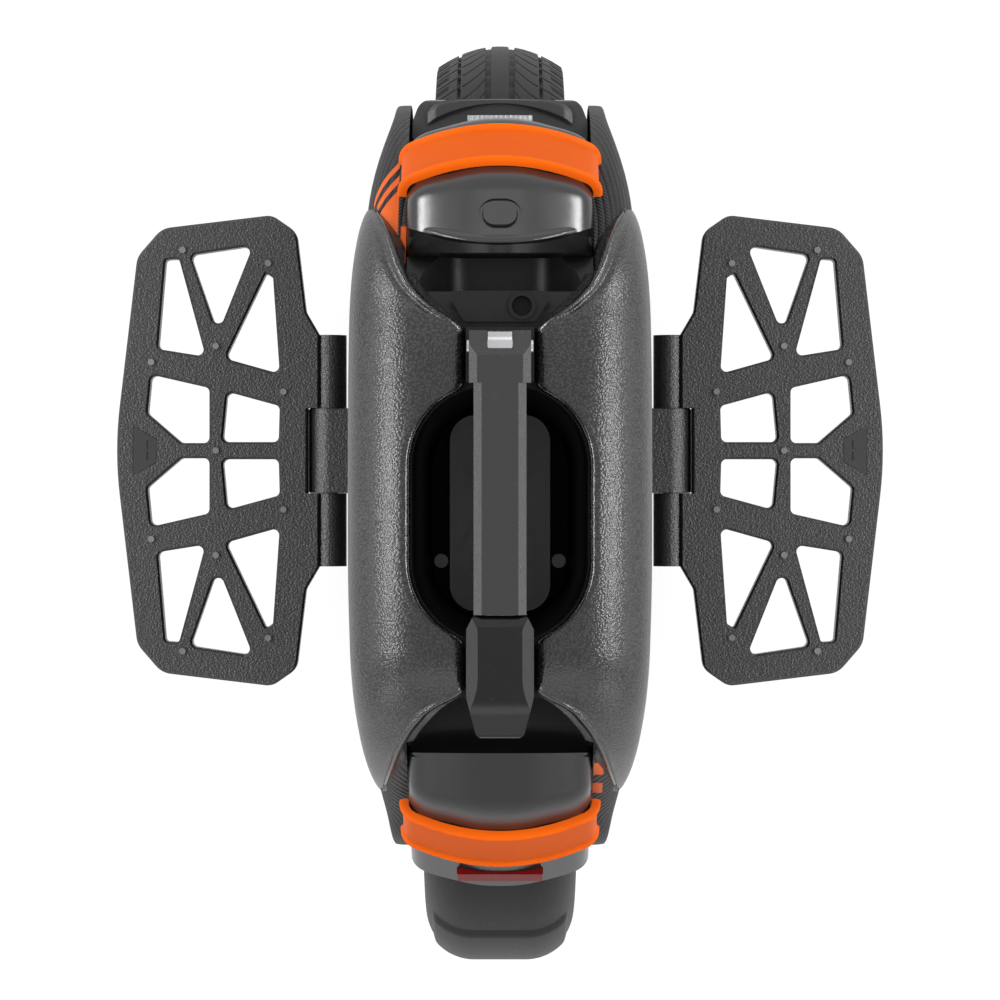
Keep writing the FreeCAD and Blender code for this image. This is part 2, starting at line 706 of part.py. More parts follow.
def pedal_insert(grow=0.0):
    """Plastic latch insert at the right pedal's tip; grow makes its pocket."""
    (outer_x, outer_y), (inner_x, inner_y) = INSERT_CORNERS
    outer_x, inner_x = outer_x + grow, inner_x - grow
    corners = [(outer_x, outer_y + grow), (outer_x, -outer_y - grow),
               (inner_x, -inner_y - grow), (inner_x, inner_y + grow)]
    return prism_z(corners, PEDAL_TOP_Z - INSERT_T, PEDAL_TOP_Z)


def pedal():
    """Right pedal: cast plate with ten cutouts, two hinge lugs, stud holes and the insert pocket."""
    notch_x = PIN_X + KNUCKLE_R + PEDAL_NOTCH
    notch_y = KNUCKLE_HALF + LUG_GAP
    upper = [(PEDAL_IN, notch_y), (PEDAL_IN, LUG_END, LUG_CORNER)] + list(PEDAL_EDGE)
    lower = [(corner[0], -corner[1]) + tuple(corner[2:]) for corner in reversed(upper)]
    edge = [(notch_x, -notch_y), (notch_x, notch_y)] + upper + [(PEDAL_TIP, 0, TIP_ROUND)] + lower
    plate = prism_z(edge, PEDAL_LOW_Z, PEDAL_TOP_Z)
    holes = []
    for cutout in PEDAL_CUTOUTS:
        for side in (-1, 1):
            corners = [(x, side * y, r) for x, y, r in cutout]
            holes.append(prism_z(corners, PEDAL_LOW_Z, PEDAL_TOP_Z))
    plate = plate.cut(Part.makeCompound(holes))
    rims = [e for e in plate.Edges if min(v.Z for v in e.Vertexes) > PEDAL_TOP_Z - 1e-3
            and e.BoundBox.XMin > notch_x + 1e-3]
    plate = plate.makeChamfer(PEDAL_BEVEL, rims)
    for start in (notch_y, -LUG_END):
        foot = Vector(PIN_X, start, PIN_Z)
        plate = plate.fuse(Part.makeCylinder(LUG_R, LUG_END - notch_y, foot, Y_AXIS))
    bore = Part.makeCylinder(PIN_R + SCREW_FIT, 2 * LUG_END, Vector(PIN_X, -LUG_END, PIN_Z), Y_AXIS)
    studs = pedal_stud_spots(PEDAL_TOP_Z - STUD_SINK, PEDAL_TOP_Z, STUD_R + SCREW_FIT)
    return plate.cut(Part.makeCompound([bore, pedal_insert(INSERT_FIT)] + studs))


def pedal_pin():
    """Right pedal hinge pin, held in the pedal's lugs."""
    return Part.makeCylinder(PIN_R, 2 * LUG_END, Vector(PIN_X, -LUG_END, PIN_Z), Y_AXIS)


def pedal_studs():
    """Grip studs screwed into the right pedal."""
    return Part.makeCompound(pedal_stud_spots(PEDAL_TOP_Z - STUD_SINK, PEDAL_TOP_Z + STUD_H, STUD_R))


def well_outline(grow, z):
    """Rounded oblong of the hand well at one height."""
    half, length, turn = WELL_WIDTH + grow, WELL_LENGTH + grow, WELL_ROUND + grow
    corners = [(x, WELL_Y + y, turn) for x, y in
               ((half, length), (-half, length), (-half, -length), (half, -length))]
    return outline(corners, lambda u, v: Vector(u, v, z))


def well_prism(grow, z0, z1):
    """Straight prism of the hand well's mouth."""
    return Part.Face(well_outline(grow, z0)).extrude(Z_AXIS * (z1 - z0))


def hand_well():
    """Tapered tub of the hand well, hung by a flange under the deck."""
    floor = WELL_FLOOR_Z - FLOOR_T
    outer = Part.makeLoft([well_outline(WELL_WALL, DECK_LOW),
                           well_outline(WELL_WALL - WELL_TAPER, floor - WELL_WALL)], True, True)
    inner = Part.makeLoft([well_outline(0, DECK_LOW), well_outline(-WELL_TAPER, floor)], True, True)
    flange = well_prism(WELL_FLANGE, DECK_LOW - WELL_WALL, DECK_LOW)
    return outer.fuse(flange).cut(inner).removeSplitter()


def well_floor():
    """Grey floor panel with two dished recesses."""
    floor = WELL_FLOOR_Z - FLOOR_T
    length = WELL_LENGTH - WELL_TAPER - FLOOR_END
    front, rear = WELL_Y + length, WELL_Y - length
    turn = WELL_ROUND / 3
    plate = prism_z([(FLOOR_HALF, front, turn), (-FLOOR_HALF, front, turn),
                     (-FLOOR_HALF, rear, turn), (FLOOR_HALF, rear, turn)], floor, WELL_FLOOR_Z)
    dishes = []
    spans = ((DISH_Y + DISH_BRIDGE / 2, front - DISH_MARGIN),
             (rear + DISH_MARGIN, DISH_Y - DISH_BRIDGE / 2))
    for near, far in spans:
        turn = min(DISH_ROUND, 0.45 * (far - near))
        corners = [(DISH_HALF, far, turn), (-DISH_HALF, far, turn),
                   (-DISH_HALF, near, turn), (DISH_HALF, near, turn)]
        dishes.append(prism_z(corners, WELL_FLOOR_Z - DISH_D, WELL_FLOOR_Z))
    return plate.cut(Part.makeCompound(dishes))


def deck_frame():
    """Deck between the side shells: well mouth, front pocket and the two bridges under the handle."""
    half = COVER_HALF - SEAT_GAP
    deck = block((-half, half), (DECK_REAR, DECK_FRONT), (DECK_LOW, DECK_TOP))
    for rear, front in (FRONT_BRIDGE, REAR_BRIDGE):
        deck = deck.fuse(block((-BRIDGE_HALF, BRIDGE_HALF), (rear, front), (DECK_TOP, BRIDGE_TOP)))
    wall = block((-half, half), (DECK_REAR, DECK_REAR + TRAY_WALL), (TRAY_Z, DECK_LOW))
    tray = block((-half, half), (TRAY_REAR, DECK_REAR), (TRAY_Z, TRAY_Z + TRAY_WALL))
    inside = COVER_HALF - COVER_WALL - SEAT_GAP
    tongue = block((-inside, inside), (TONGUE_REAR, TRAY_REAR), (TRAY_Z, TRAY_Z + TRAY_WALL))
    cuts = [well_prism(0, DECK_LOW, DECK_TOP), hinge_lug(SCREW_FIT)]
    return deck.fuse([wall, tray, tongue]).cut(Part.makeCompound(cuts)).removeSplitter()


def port_panel():
    """Front scoop between the deck and the hood: hollowed cheeks, and the raised panel of the charge port."""
    half = COVER_HALF - SEAT_GAP
    rear = DECK_FRONT + SEAT_GAP
    low = SCOOP_FLOOR - SCOOP_WALL
    side = [(rear, low), (rear, DECK_TOP)] + list(SCOOP_TOP) + [(SCOOP_FRONT, low)]
    scoop = prism_x(side, -half, half)
    front = PANEL_FRONT - SEAT_GAP
    hollow = [(-half, DECK_TOP), (-SCOOP_HALF, SCOOP_FLOOR, SCOOP_ROUND),
              (SCOOP_HALF, SCOOP_FLOOR, SCOOP_ROUND), (half, DECK_TOP)]
    scoop = scoop.cut(prism_y(hollow, front, SCOOP_FRONT))
    corners = [(PANEL_FRONT_HALF, front, PANEL_T), (-PANEL_FRONT_HALF, front, PANEL_T),
               (-PANEL_REAR_HALF, PANEL_REAR, PANEL_T), (PANEL_REAR_HALF, PANEL_REAR, PANEL_T)]
    plate = prism_z(corners, DECK_TOP, DECK_TOP + PANEL_T)
    foot = Vector(PORT_X, PORT_Y, DECK_TOP + PANEL_T - PORT_L)
    return scoop.fuse(plate).cut(Part.makeCylinder(PORT_R + PORT_WALL + SCREW_FIT, PORT_L, foot))


def charge_port():
    """Round charge socket: flanged cup with an open bore."""
    top = DECK_TOP + PANEL_T
    cup = Part.makeCylinder(PORT_RING_R, PORT_LIP, Vector(PORT_X, PORT_Y, top))
    cup = cup.fuse(Part.makeCylinder(PORT_R + PORT_WALL, PORT_L, Vector(PORT_X, PORT_Y, top - PORT_L)))
    bore_l = PORT_L + PORT_LIP - PORT_BASE
    return cup.cut(Part.makeCylinder(PORT_R, bore_l, Vector(PORT_X, PORT_Y, top + PORT_LIP - bore_l)))


# Right leg pad seen from above and from the side
PAD_PLAN = ((PAD_CHANNEL, 52.0, 4.0), (39.0, 72.0, 24.0), (46.0, 86.0, 20.0), (57.0, 107.0, 3.0),
            (90.0, 107.0), (90.0, -161.0), (54.0, -161.0, 3.0), (46.0, -143.0, 14.0),
            (38.0, -126.0, 14.0), (PAD_CHANNEL, -113.0, 4.0))
PAD_SEAT = ((-165.0, 400.0), (-142.0, 456.0), (-128.0, 477.0), (-114.0, 498.3), (58.0, 498.3),
            (75.0, 489.0), (90.0, 470.0))
PAD_SIDE = ((107.0, 430.0, 20.0), (92.0, 345.0, 40.0), (58.0, PAD_FOOT, 30.0), (-95.0, PAD_FOOT, 30.0),
            (-146.0, 345.0, 40.0), (-161.0, 420.0, 20.0), (-161.0, 600.0), (107.0, 600.0))


def leg_pad():
    """Right foam pad: crowned form over the shell's shoulder with a drawn-in foot."""
    wires = []
    low = PAD_FOOT - PAD_ROUND
    for y, share in PAD_STATIONS:
        top, _, half = station_at(y)
        top, half = top + PAD_RISE * share, half + PAD_T * share
        turn = SHELL_ROUND + (PAD_ROUND - SHELL_ROUND) * share
        corners = [(0, low), (half - PAD_T / 2, low), (half, low + PAD_ROUND + PAD_T),
                   (half, top, turn), (0, top)]
        wires.append(outline(corners, lambda u, v, y=y: Vector(u, y, v)))
    form = Part.makeLoft(wires, True, False)
    form = form.common(prism_z(PAD_PLAN, low, 2 * PAD_FOOT)).common(prism_x(PAD_SIDE, 0, 2 * PIN_X))
    seat = [(PAD_SEAT[0][0], low)] + list(PAD_SEAT) + [(PAD_SEAT[-1][0], low)]
    deck = prism_x(seat, 0, COVER_HALF + SEAT_GAP)
    shell = shell_form(-SEAT_GAP, SHELL_IN - SEAT_GAP)
    return form.cut(Part.makeCompound([shell, deck, well_prism(SEAT_GAP, low, 2 * PAD_FOOT)]))


def offset_line(line, distance):
    """Corners of a (Y, Z) line moved sideways by distance, radii moved with them."""
    spots = [Vector(c[0], c[1], 0) for c in line]
    ways = [(b - a).normalize() for a, b in zip(spots, spots[1:])]
    sides = [Vector(way.y, -way.x, 0) for way in ways]
    moved = [spots[0] + sides[0] * distance]
    for i in range(1, len(spots) - 1):
        blend = sides[i - 1] + sides[i]
        moved.append(spots[i] + blend * (2 * distance / blend.dot(blend)))
    moved.append(spots[-1] + sides[-1] * distance)
    radii = [max(c[2] - abs(distance), LEAST_TURN) if len(c) > 2 else 0.0 for c in line]
    return [(p.x, p.y, r) for p, r in zip(moved, radii)]


def crown(x):
    """Drop of the covers' arched section at a distance from the middle."""
    return x * x / (2 * CROWN_R)


def toward(start, end, distance):
    """Point of a (Y, Z) run at a distance from its start."""
    share = distance / math.hypot(end[0] - start[0], end[1] - start[1])
    return (start[0] + (end[0] - start[0]) * share, start[1] + (end[1] - start[1]) * share)


def cover_body(line, foot, inward, lead, wall):
    """Crowned solid of a cover, or its hollow when set in by the wall: side profiles lofted across."""
    half = COVER_HALF - wall
    spots = [(x, crown(x)) for x in CROWN_SLICES] + [(half, crown(half) + COVER_EDGE)]
    spots = [(-x, sink) for x, sink in spots[:0:-1]] + spots
    wires = []
    for x, sink in spots:
        side = offset_line(line, inward * (sink + wall))
        side[0] = toward(side[0], side[1], lead * sink - OPEN_END * wall)
        side[-1] = toward(side[-1], side[-2], -OPEN_END * wall)
        middle = [sum(c[i] for c in line) / len(line) for i in (0, 1)]
        corner = toward(foot, middle, -OPEN_FOOT * wall) if wall else foot
        wires.append(outline(side + [corner], lambda u, v, x=x: Vector(x, u, v)))
    return Part.makeLoft(wires, True, False)


def cover_form(line, foot, inward, lead):
    """Cover shell: crowned across, hollow and open below."""
    return cover_body(line, foot, inward, lead, 0.0).cut(cover_body(line, foot, inward, lead, COVER_WALL))


def on_line(shape, line, index, share, sink=0.0):
    """Place a shape made flat on the XY plane on one run of a cover's side profile, Z outwards."""
    start, end = [Vector(0, point[0], point[1]) for point in line[index:index + 2]]
    way = end - start
    turn = math.degrees(math.atan2(-way.z, abs(way.y))) * (1 if way.y > 0 else -1)
    shape = shape.copy()
    shape.rotate(Vector(0, 0, 0), X_AXIS, -turn)
    outward = Vector(0, math.sin(math.radians(turn)), math.cos(math.radians(turn)))
    shape.translate(start + way * share - outward * sink)
    return shape


def button_form(grow, low, high):
    """Pill of the power button, flat on the XY plane."""
    half, depth = BUTTON_L / 2 + grow, BUTTON_W / 2 + grow
    turn = BUTTON_ROUND + grow
    corners = [(half, depth, turn), (-half, depth, turn), (-half, -depth, turn), (half, -depth, turn)]
    return prism_z(corners, low, high)


def power_button():
    """Power button with a flange that holds it under the hood."""
    seat = -COVER_WALL - SEAT_GAP
    button = button_form(0, seat, BUTTON_PROUD)
    button = button.fuse(button_form(BUTTON_FLANGE, seat - BUTTON_FLANGE, seat))
    return on_line(button, HOOD_LINE, 0, BUTTON_AT)


def lamp_block(grow, front, back):
    """Box of the headlight lens at the hood's front wall."""
    face = HOOD_LINE[-1][0]
    half, height = LENS_HALF + grow, LENS_H / 2 + grow
    return block((-half, half), (face - back, face - front), (LENS_Z - height, LENS_Z + height))


def front_cover():
    """Hood with the button hole, its shallow rim and the headlight window."""
    hood = cover_form(HOOD_LINE, HOOD_FOOT, 1, HOOD_LEAD)
    hole = button_form(BUTTON_FIT, -2 * COVER_WALL, BUTTON_RIM_D)
    rim_cut = button_form(BUTTON_RIM, -BUTTON_RIM_D, BUTTON_RIM_D)
    window = lamp_block(SEAT_GAP, -LENS_T, LENS_T + COVER_WALL)
    return hood.cut(Part.makeCompound([on_line(hole.fuse(rim_cut), HOOD_LINE, 0, BUTTON_AT), window]))


def headlight_lens():
    """Clear headlight lens in the hood's window."""
    return lamp_block(0, 0, LENS_T)


def headlight_housing():
    """Reflector box behind the lens."""
    box = lamp_block(0, LENS_T, LENS_T + LAMP_DEPTH)
    return box.cut(lamp_block(-LENS_T / 2, LENS_T, LAMP_DEPTH + LENS_T / 2))


def tail_block(grow, low, high):
    """Box of the tail light, flat on the XY plane."""
    half, height = TAIL_HALF + grow, TAIL_H / 2 + grow
    return block((-half, half), (-height, height), (low, high))


def rear_cover():
    """Rear dome with the tail light window."""
    dome = cover_form(REAR_LINE, REAR_FOOT, -1, REAR_LEAD)
    return dome.cut(on_line(tail_block(SEAT_GAP, -2 * COVER_WALL, TAIL_T), REAR_LINE, 1, TAIL_AT))


def tail_light():
    """Tail light lens in the dome's lower window."""
    return on_line(tail_block(0, -COVER_WALL, TAIL_T - COVER_WALL + 1), REAR_LINE, 1, TAIL_AT)


def arch_corners(half, lift, turn):
    """Corners of the strap's arched line, right leg over the top to the left leg: the crown's tangents."""
    last = STRAP_TANGENTS[-1]
    right = [(half, -STRAP_DROP), (half, lift - last * (half - last / 2) / CROWN_R, turn)]
    for near, far in reversed(list(zip(STRAP_TANGENTS, STRAP_TANGENTS[1:]))):
        right.append(((near + far) / 2, lift - near * far / (2 * CROWN_R), CROWN_R / 2))
    return right + [(-corner[0],) + tuple(corner[1:]) for corner in reversed(right)]


def strap(line, index, share):
    """Soft strap over a cover: flat band with a rolled edge on both sides, legs down to the shells."""
    half = COVER_HALF + SEAT_GAP
    bands = []
    for thick, low, high in ((STRAP_T, -STRAP_W / 2, STRAP_W / 2),
                             (STRAP_ROLL, -STRAP_W / 2, STRAP_ROLL_W - STRAP_W / 2),
                             (STRAP_ROLL, STRAP_W / 2 - STRAP_ROLL_W, STRAP_W / 2)):
        outer = arch_corners(half + thick, SEAT_GAP + thick, STRAP_TURN + thick)
        inner = [(-corner[0],) + tuple(corner[1:]) for corner in arch_corners(half, SEAT_GAP, STRAP_TURN)]
        bands.append(prism_y(outer + inner, low, high))
    return on_line(bands[0].fuse(bands[1:]).removeSplitter(), line, index, share)


def front_fender():
    """Short front mudguard lip under the headlight."""
    face = HOOD_LINE[-1][0]
    back = face - 2 * LENS_T
    side = [(back, FENDER_TOP), (FENDER_FRONT - FENDER_EDGE / 2, FENDER_TOP - FENDER_EDGE, FENDER_EDGE),
            (FENDER_FRONT, FENDER_LOW + FENDER_ROUND, FENDER_EDGE), (back, FENDER_LOW)]
    turn = FENDER_ROUND
    plan = [(FENDER_HALF, back), (FENDER_HALF, face, turn), (FENDER_TIP_HALF, FENDER_FRONT, turn),
            (-FENDER_TIP_HALF, FENDER_FRONT, turn), (-FENDER_HALF, face, turn), (-FENDER_HALF, back)]
    lip = prism_x(side, -FENDER_HALF, FENDER_HALF).common(prism_z(plan, FENDER_LOW, FENDER_TOP))
    return lip.cut(rod_x(-FENDER_HALF, FENDER_HALF, 0, AXLE_Z, ARCH_OUT_R + SEAT_GAP))


def mudguard():
    """Rear mudguard: channel section round the wheel with two arms down to the arch."""
    out, inner, lip = GUARD_R + GUARD_T, GUARD_HALF - GUARD_T, GUARD_R - GUARD_LIP
    turn = GUARD_ROUND
    section = [(-GUARD_HALF, lip), (-inner, lip), (-inner, GUARD_R, turn - GUARD_T),
               (inner, GUARD_R, turn - GUARD_T), (inner, lip), (GUARD_HALF, lip), (GUARD_HALF, out, turn),
               (-GUARD_HALF, out, turn)]
    guard = sector(section, GUARD_REAR, GUARD_FRONT)
    foot = ARCH_OUT_R + SEAT_GAP
    top = out - turn
    corners = [(inner - GUARD_ARM_T, foot), (inner, foot), (inner, top), (inner - GUARD_ARM_T, top)]
    arm = sector(corners, *GUARD_ARM)
    return guard.fuse([arm, mirrored(arm)]).removeSplitter()


def hinge_lug(grow=0.0):
    """Steel lug of the handle hinge, set into the front bridge; grow makes its pocket."""
    radius, half = HINGE_LUG_R + grow, LUG_HALF + grow
    low = BRIDGE_TOP - HINGE_LUG_R - grow
    lug = block((-half, half), (HINGE_Y - radius, HINGE_Y + radius), (low, HINGE_Z))
    return lug.fuse(rod_x(-half, half, HINGE_Y, HINGE_Z, radius)).removeSplitter()


def handle_hinge():
    """Handle hinge lug with its pin bore."""
    return hinge_lug().cut(rod_x(-LUG_HALF, LUG_HALF, HINGE_Y, HINGE_Z, HINGE_R + RUNNING_FIT))


def bar_section(half, low, top, bevel):
    """Bar section with bevelled top edges as (X, Z) corners."""
    return [(-half, low, 2), (half, low, 2), (half, top - bevel), (half - bevel, top), (bevel - half, top),
            (-half, top - bevel)]


def bar_bore(inset, start, end):
    """Rectangular bore of the bar, or a stage in it when set in."""
    half = BAR_HALF - BAR_WALL - inset
    low, high = BAR_LOW + BAR_WALL + inset, BAR_TOP - BAR_WALL - inset
    return block((-half, half), (start, end), (low, high))


def handle_bar():
    """Carrying bar: rectangular tube, wider slotted nose on the hinge lug, sloped front facet."""
    front = HINGE_Y + BAR_FRONT
    bar = prism_y(bar_section(BAR_HALF, BAR_LOW, BAR_TOP, BAR_BEVEL), BAR_REAR, front)
    nose = bar_section(BAR_NOSE_HALF, BAR_LOW, BAR_TOP, BAR_BEVEL)
    bar = bar.fuse(prism_y(nose, HINGE_Y - BAR_NOSE, front))
    reach = HINGE_LUG_R + LUG_CLEAR
    slot = block((-LUG_HALF - TUBE_FIT, LUG_HALF + TUBE_FIT), (HINGE_Y - reach, front),
                 (BAR_LOW, HINGE_Z + HINGE_LUG_R + LUG_CLEAR / 2))
    corners = [(front - FACET_L, BAR_TOP), (front, BAR_TOP - FACET_DROP), (front, BAR_TOP)]
    facet = prism_x(corners, -BAR_NOSE_HALF, BAR_NOSE_HALF)
    pin = rod_x(-BAR_NOSE_HALF, BAR_NOSE_HALF, HINGE_Y, HINGE_Z, HINGE_R + SCREW_FIT)
    cuts = [slot, facet, pin, bar_bore(0, BAR_REAR, BAR_BORE_END)]
    return bar.removeSplitter().cut(Part.makeCompound(cuts))


def handle_pin():
    """Hinge pin held in the bar's nose."""
    end = BAR_NOSE_HALF + HEAD_OVER
    return rod_x(-end, end, HINGE_Y, HINGE_Z, HINGE_R)


def middle_tube():
    """First telescopic stage, a rectangular tube in the bar."""
    start, end = BAR_REAR + TUBE_FIT, BAR_BORE_END - TUBE_FIT
    return bar_bore(TUBE_FIT, start, end).cut(bar_bore(TUBE_FIT + TUBE_WALL, start, end))


def inner_tube():
    """Second telescopic stage, fixed in the handle head."""
    return bar_bore(2 * TUBE_FIT + TUBE_WALL, BAR_REAR - TUBE_FIT, BAR_BORE_END - BAR_WALL)


def trigger_block(grow):
    """Box of the release button under the head."""
    low = BRIDGE_TOP + HEAD_OVER - TRIGGER_OUT
    return block((-TRIGGER_HALF - grow, TRIGGER_HALF + grow),
                 (TRIGGER_Y - TRIGGER_L / 2 - grow, TRIGGER_Y + TRIGGER_L / 2 + grow),
                 (low, low + TRIGGER_T + grow * 12))


def handle_release():
    """Release button of the telescopic stages, under the head."""
    return trigger_block(0)


def handle_head():
    """Rear grip block of the handle: bevelled, tapered and sloped down to the rear."""
    front, top, low = BAR_REAR - TUBE_FIT, BAR_TOP + HEAD_OVER, BRIDGE_TOP + HEAD_OVER
    slope = HEAD_REAR + HEAD_SLOPE
    brow = front - HEAD_BROW
    head = prism_y(bar_section(HEAD_HALF, low, top, HEAD_CHAMFER), HEAD_REAR, front)
    side = [(front, low), (front, top - HEAD_EDGE, HEAD_EDGE), (brow, top, HEAD_BROW),
            (slope, top, HEAD_BEND), (HEAD_REAR, top - HEAD_DROP, HEAD_EDGE), (HEAD_REAR, low, HEAD_EDGE)]
    head = head.common(prism_x(side, -HEAD_HALF, HEAD_HALF))
    half = [(HEAD_HALF - HEAD_EDGE, front), (HEAD_HALF, brow), (HEAD_HALF, slope, HEAD_DROP),
            (HEAD_HALF - HEAD_TAPER, HEAD_REAR, HEAD_EDGE)]
    plan = half + [(-corner[0],) + corner[1:] for corner in reversed(half)]
    head = head.common(prism_z(plan, low, top))
    return head.cut(trigger_block(TUBE_FIT))


def battery_pack():
    """Right battery pack in the side shell."""
    outer = min(station_at(y)[2] for y in BATTERY_Y) - SHELL_WALL - BATTERY_OUT
    pack = block((ARCH_HALF + SEAT_GAP, outer), BATTERY_Y, BATTERY_Z)
    corners = [e for e in pack.Edges if abs(e.tangentAt(e.FirstParameter).x) > 0.9]
    return pack.makeFillet(BATTERY_ROUND, corners)


def arch_saddle(shape, angle):
    """Seat a piece made upright on the arch band and turn it to an angle round the axle."""
    shape = shape.cut(rod_x(-ARCH_HALF, ARCH_HALF, 0, AXLE_Z, ARCH_OUT_R + SEAT_GAP))
    shape.rotate(AXLE, X_AXIS, -angle)
    return shape


def heat_sink():
    """Aluminium heat sink on the arch with channels across it."""
    low = AXLE_Z + ARCH_OUT_R - SINK_T / 2
    top = AXLE_Z + ARCH_OUT_R + SINK_T
    sink = block((-SINK_HALF, SINK_HALF), (-SINK_L / 2, SINK_L / 2), (low, top))
    pitch = SINK_L / (FIN_COUNT + 1)
    for i in range(FIN_COUNT):
        middle = -SINK_L / 2 + (i + 1) * pitch
        sink = sink.cut(block((-SINK_HALF, SINK_HALF), (middle - FIN_GAP_W / 2, middle + FIN_GAP_W / 2),
                              (top - FIN_GAP_D, top)))
    return arch_saddle(sink, SINK_AT)


def control_board():
    """Circuit board on the heat sink with its capacitors and terminal blocks."""
    low = AXLE_Z + ARCH_OUT_R + SINK_T
    top = low + BOARD_T
    board = block((-SINK_HALF, SINK_HALF), (-SINK_L / 2, SINK_L / 2), (low, top))
    for x in (-PART_PITCH, 0, PART_PITCH):
        board = board.fuse(Part.makeCylinder(CAPACITOR_R, CAPACITOR_H, Vector(x, CAPACITOR_Y, top)))
        sides = (x - CAPACITOR_R, x + CAPACITOR_R)
        board = board.fuse(block(sides, TERMINAL_Y, (top, top + TERMINAL_H)))
    board.rotate(AXLE, X_AXIS, -SINK_AT)
    return board


def speaker():
    """Round speaker on the rear of the arch."""
    low = AXLE_Z + ARCH_OUT_R - SPEAKER_H / 2
    body = Part.makeCylinder(SPEAKER_R, 1.5 * SPEAKER_H, Vector(0, 0, low))
    cone = Part.makeCone(SPEAKER_R / 4, SPEAKER_R * 0.85, SPEAKER_H / 2, Vector(0, 0, low + SPEAKER_H))
    return arch_saddle(body.cut(cone), SPEAKER_AT)


def motor_cable():
    """Motor cable from the left axle end, round the battery, to the control board."""
    x = -AXLE_END - SEAT_GAP - CABLE_R
    route = [Vector(x, 0, AXLE_Z), Vector(x, 0, CABLE_LOW_Z), Vector(x, CABLE_Y, CABLE_LOW_Z),
             Vector(x, CABLE_Y, CABLE_TOP_Z), Vector(-SINK_HALF - SEAT_GAP, CABLE_Y, CABLE_TOP_Z)]
    edges = []
    start = route[0]
    for back, corner, ahead in zip(route, route[1:], route[2:]):
        away, onward = (back - corner).normalize(), (ahead - corner).normalize()
        first, last = corner + away * CABLE_BEND, corner + onward * CABLE_BEND
        middle = corner + (away + onward) * (CABLE_BEND * (1 - math.sqrt(0.5)))
        edges += [Part.makeLine(start, first), Part.Arc(first, middle, last).toShape()]
        start = last
    edges.append(Part.makeLine(start, route[-1]))
    mouth = Part.Wire(Part.makeCircle(CABLE_R, route[0], Z_AXIS))
    return Part.Wire(edges).makePipeShell([mouth], True, False)


def pieces():
    """Every node of the machine by name."""
    single = {
        "tyre": tyre, "rim": rim, "rotor_magnets": magnets, "motor_cover_screws": cover_screws,
        "valve_stem": valve_stem, "axle": axle, "axle_nuts": axle_nuts, "stator_core": stator,
        "stator_windings": windings, "wheel_arch": wheel_arch, "hanger_bolts": hanger_bolts,
        "shell_screws": shell_screws, "deck_frame": deck_frame,
        "hand_well": hand_well, "well_floor": well_floor,
        "port_panel": port_panel, "charge_port": charge_port, "front_cover": front_cover,
        "rear_cover": rear_cover, "front_fender": front_fender, "mudguard": mudguard,
        "headlight_lens": headlight_lens, "headlight_housing": headlight_housing,
        "tail_light": tail_light, "power_button": power_button, "handle_hinge": handle_hinge,
        "handle_bar": handle_bar, "handle_pin": handle_pin, "middle_tube": middle_tube,
        "inner_tube": inner_tube, "handle_head": handle_head, "handle_release": handle_release,
        "heat_sink": heat_sink, "control_board": control_board, "speaker": speaker,
        "motor_cable": motor_cable,
    }
    paired = {
        "motor_cover": motor_cover, "wheel_bearing": bearing, "pedal_hanger": pedal_hanger,
        "pedal_bracket": pedal_bracket, "pedal": pedal, "pedal_pin": pedal_pin,
        "pedal_studs": pedal_studs, "pedal_insert": pedal_insert, "side_shell": side_shell,
        "leg_pad": leg_pad, "battery_pack": battery_pack,
    }
    made = {name: make() for name, make in single.items()}
    made["front_strap"] = strap(HOOD_LINE, 1, FRONT_STRAP_AT)
    made["rear_strap"] = strap(REAR_LINE, 1, REAR_STRAP_AT)
    for name, make in paired.items():
        right = make()
        made[name + "_right"] = right
        made[name + "_left"] = mirrored(right)
    return made


os.makedirs("parts", exist_ok=True)
for node, shape in pieces().items():
    shape.exportStep("parts/" + node + ".step")
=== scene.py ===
import math

import bpy
import numpy as np
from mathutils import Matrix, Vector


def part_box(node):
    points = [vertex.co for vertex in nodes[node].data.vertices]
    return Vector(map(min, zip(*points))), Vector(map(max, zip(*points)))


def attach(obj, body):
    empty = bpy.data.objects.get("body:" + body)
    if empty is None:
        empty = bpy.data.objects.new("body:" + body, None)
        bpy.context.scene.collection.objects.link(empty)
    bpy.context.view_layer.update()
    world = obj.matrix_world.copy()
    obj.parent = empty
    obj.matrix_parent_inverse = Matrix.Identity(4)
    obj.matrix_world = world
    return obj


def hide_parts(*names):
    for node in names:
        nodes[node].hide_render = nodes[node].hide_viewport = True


# The machine itself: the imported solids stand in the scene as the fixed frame, and the looks are put on
# them piece by piece, from the wheel outwards. The box of the bare solids is kept. Sizes of the pieces
# that are formed here are in millimetres up to the end of each grid.
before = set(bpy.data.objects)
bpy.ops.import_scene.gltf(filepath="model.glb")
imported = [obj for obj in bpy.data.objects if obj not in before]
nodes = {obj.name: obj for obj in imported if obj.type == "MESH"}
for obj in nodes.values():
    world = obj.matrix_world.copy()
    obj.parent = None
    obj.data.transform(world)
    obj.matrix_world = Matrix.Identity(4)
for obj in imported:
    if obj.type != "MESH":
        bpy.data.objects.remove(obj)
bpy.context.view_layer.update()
MM_PER_M = 1000.0


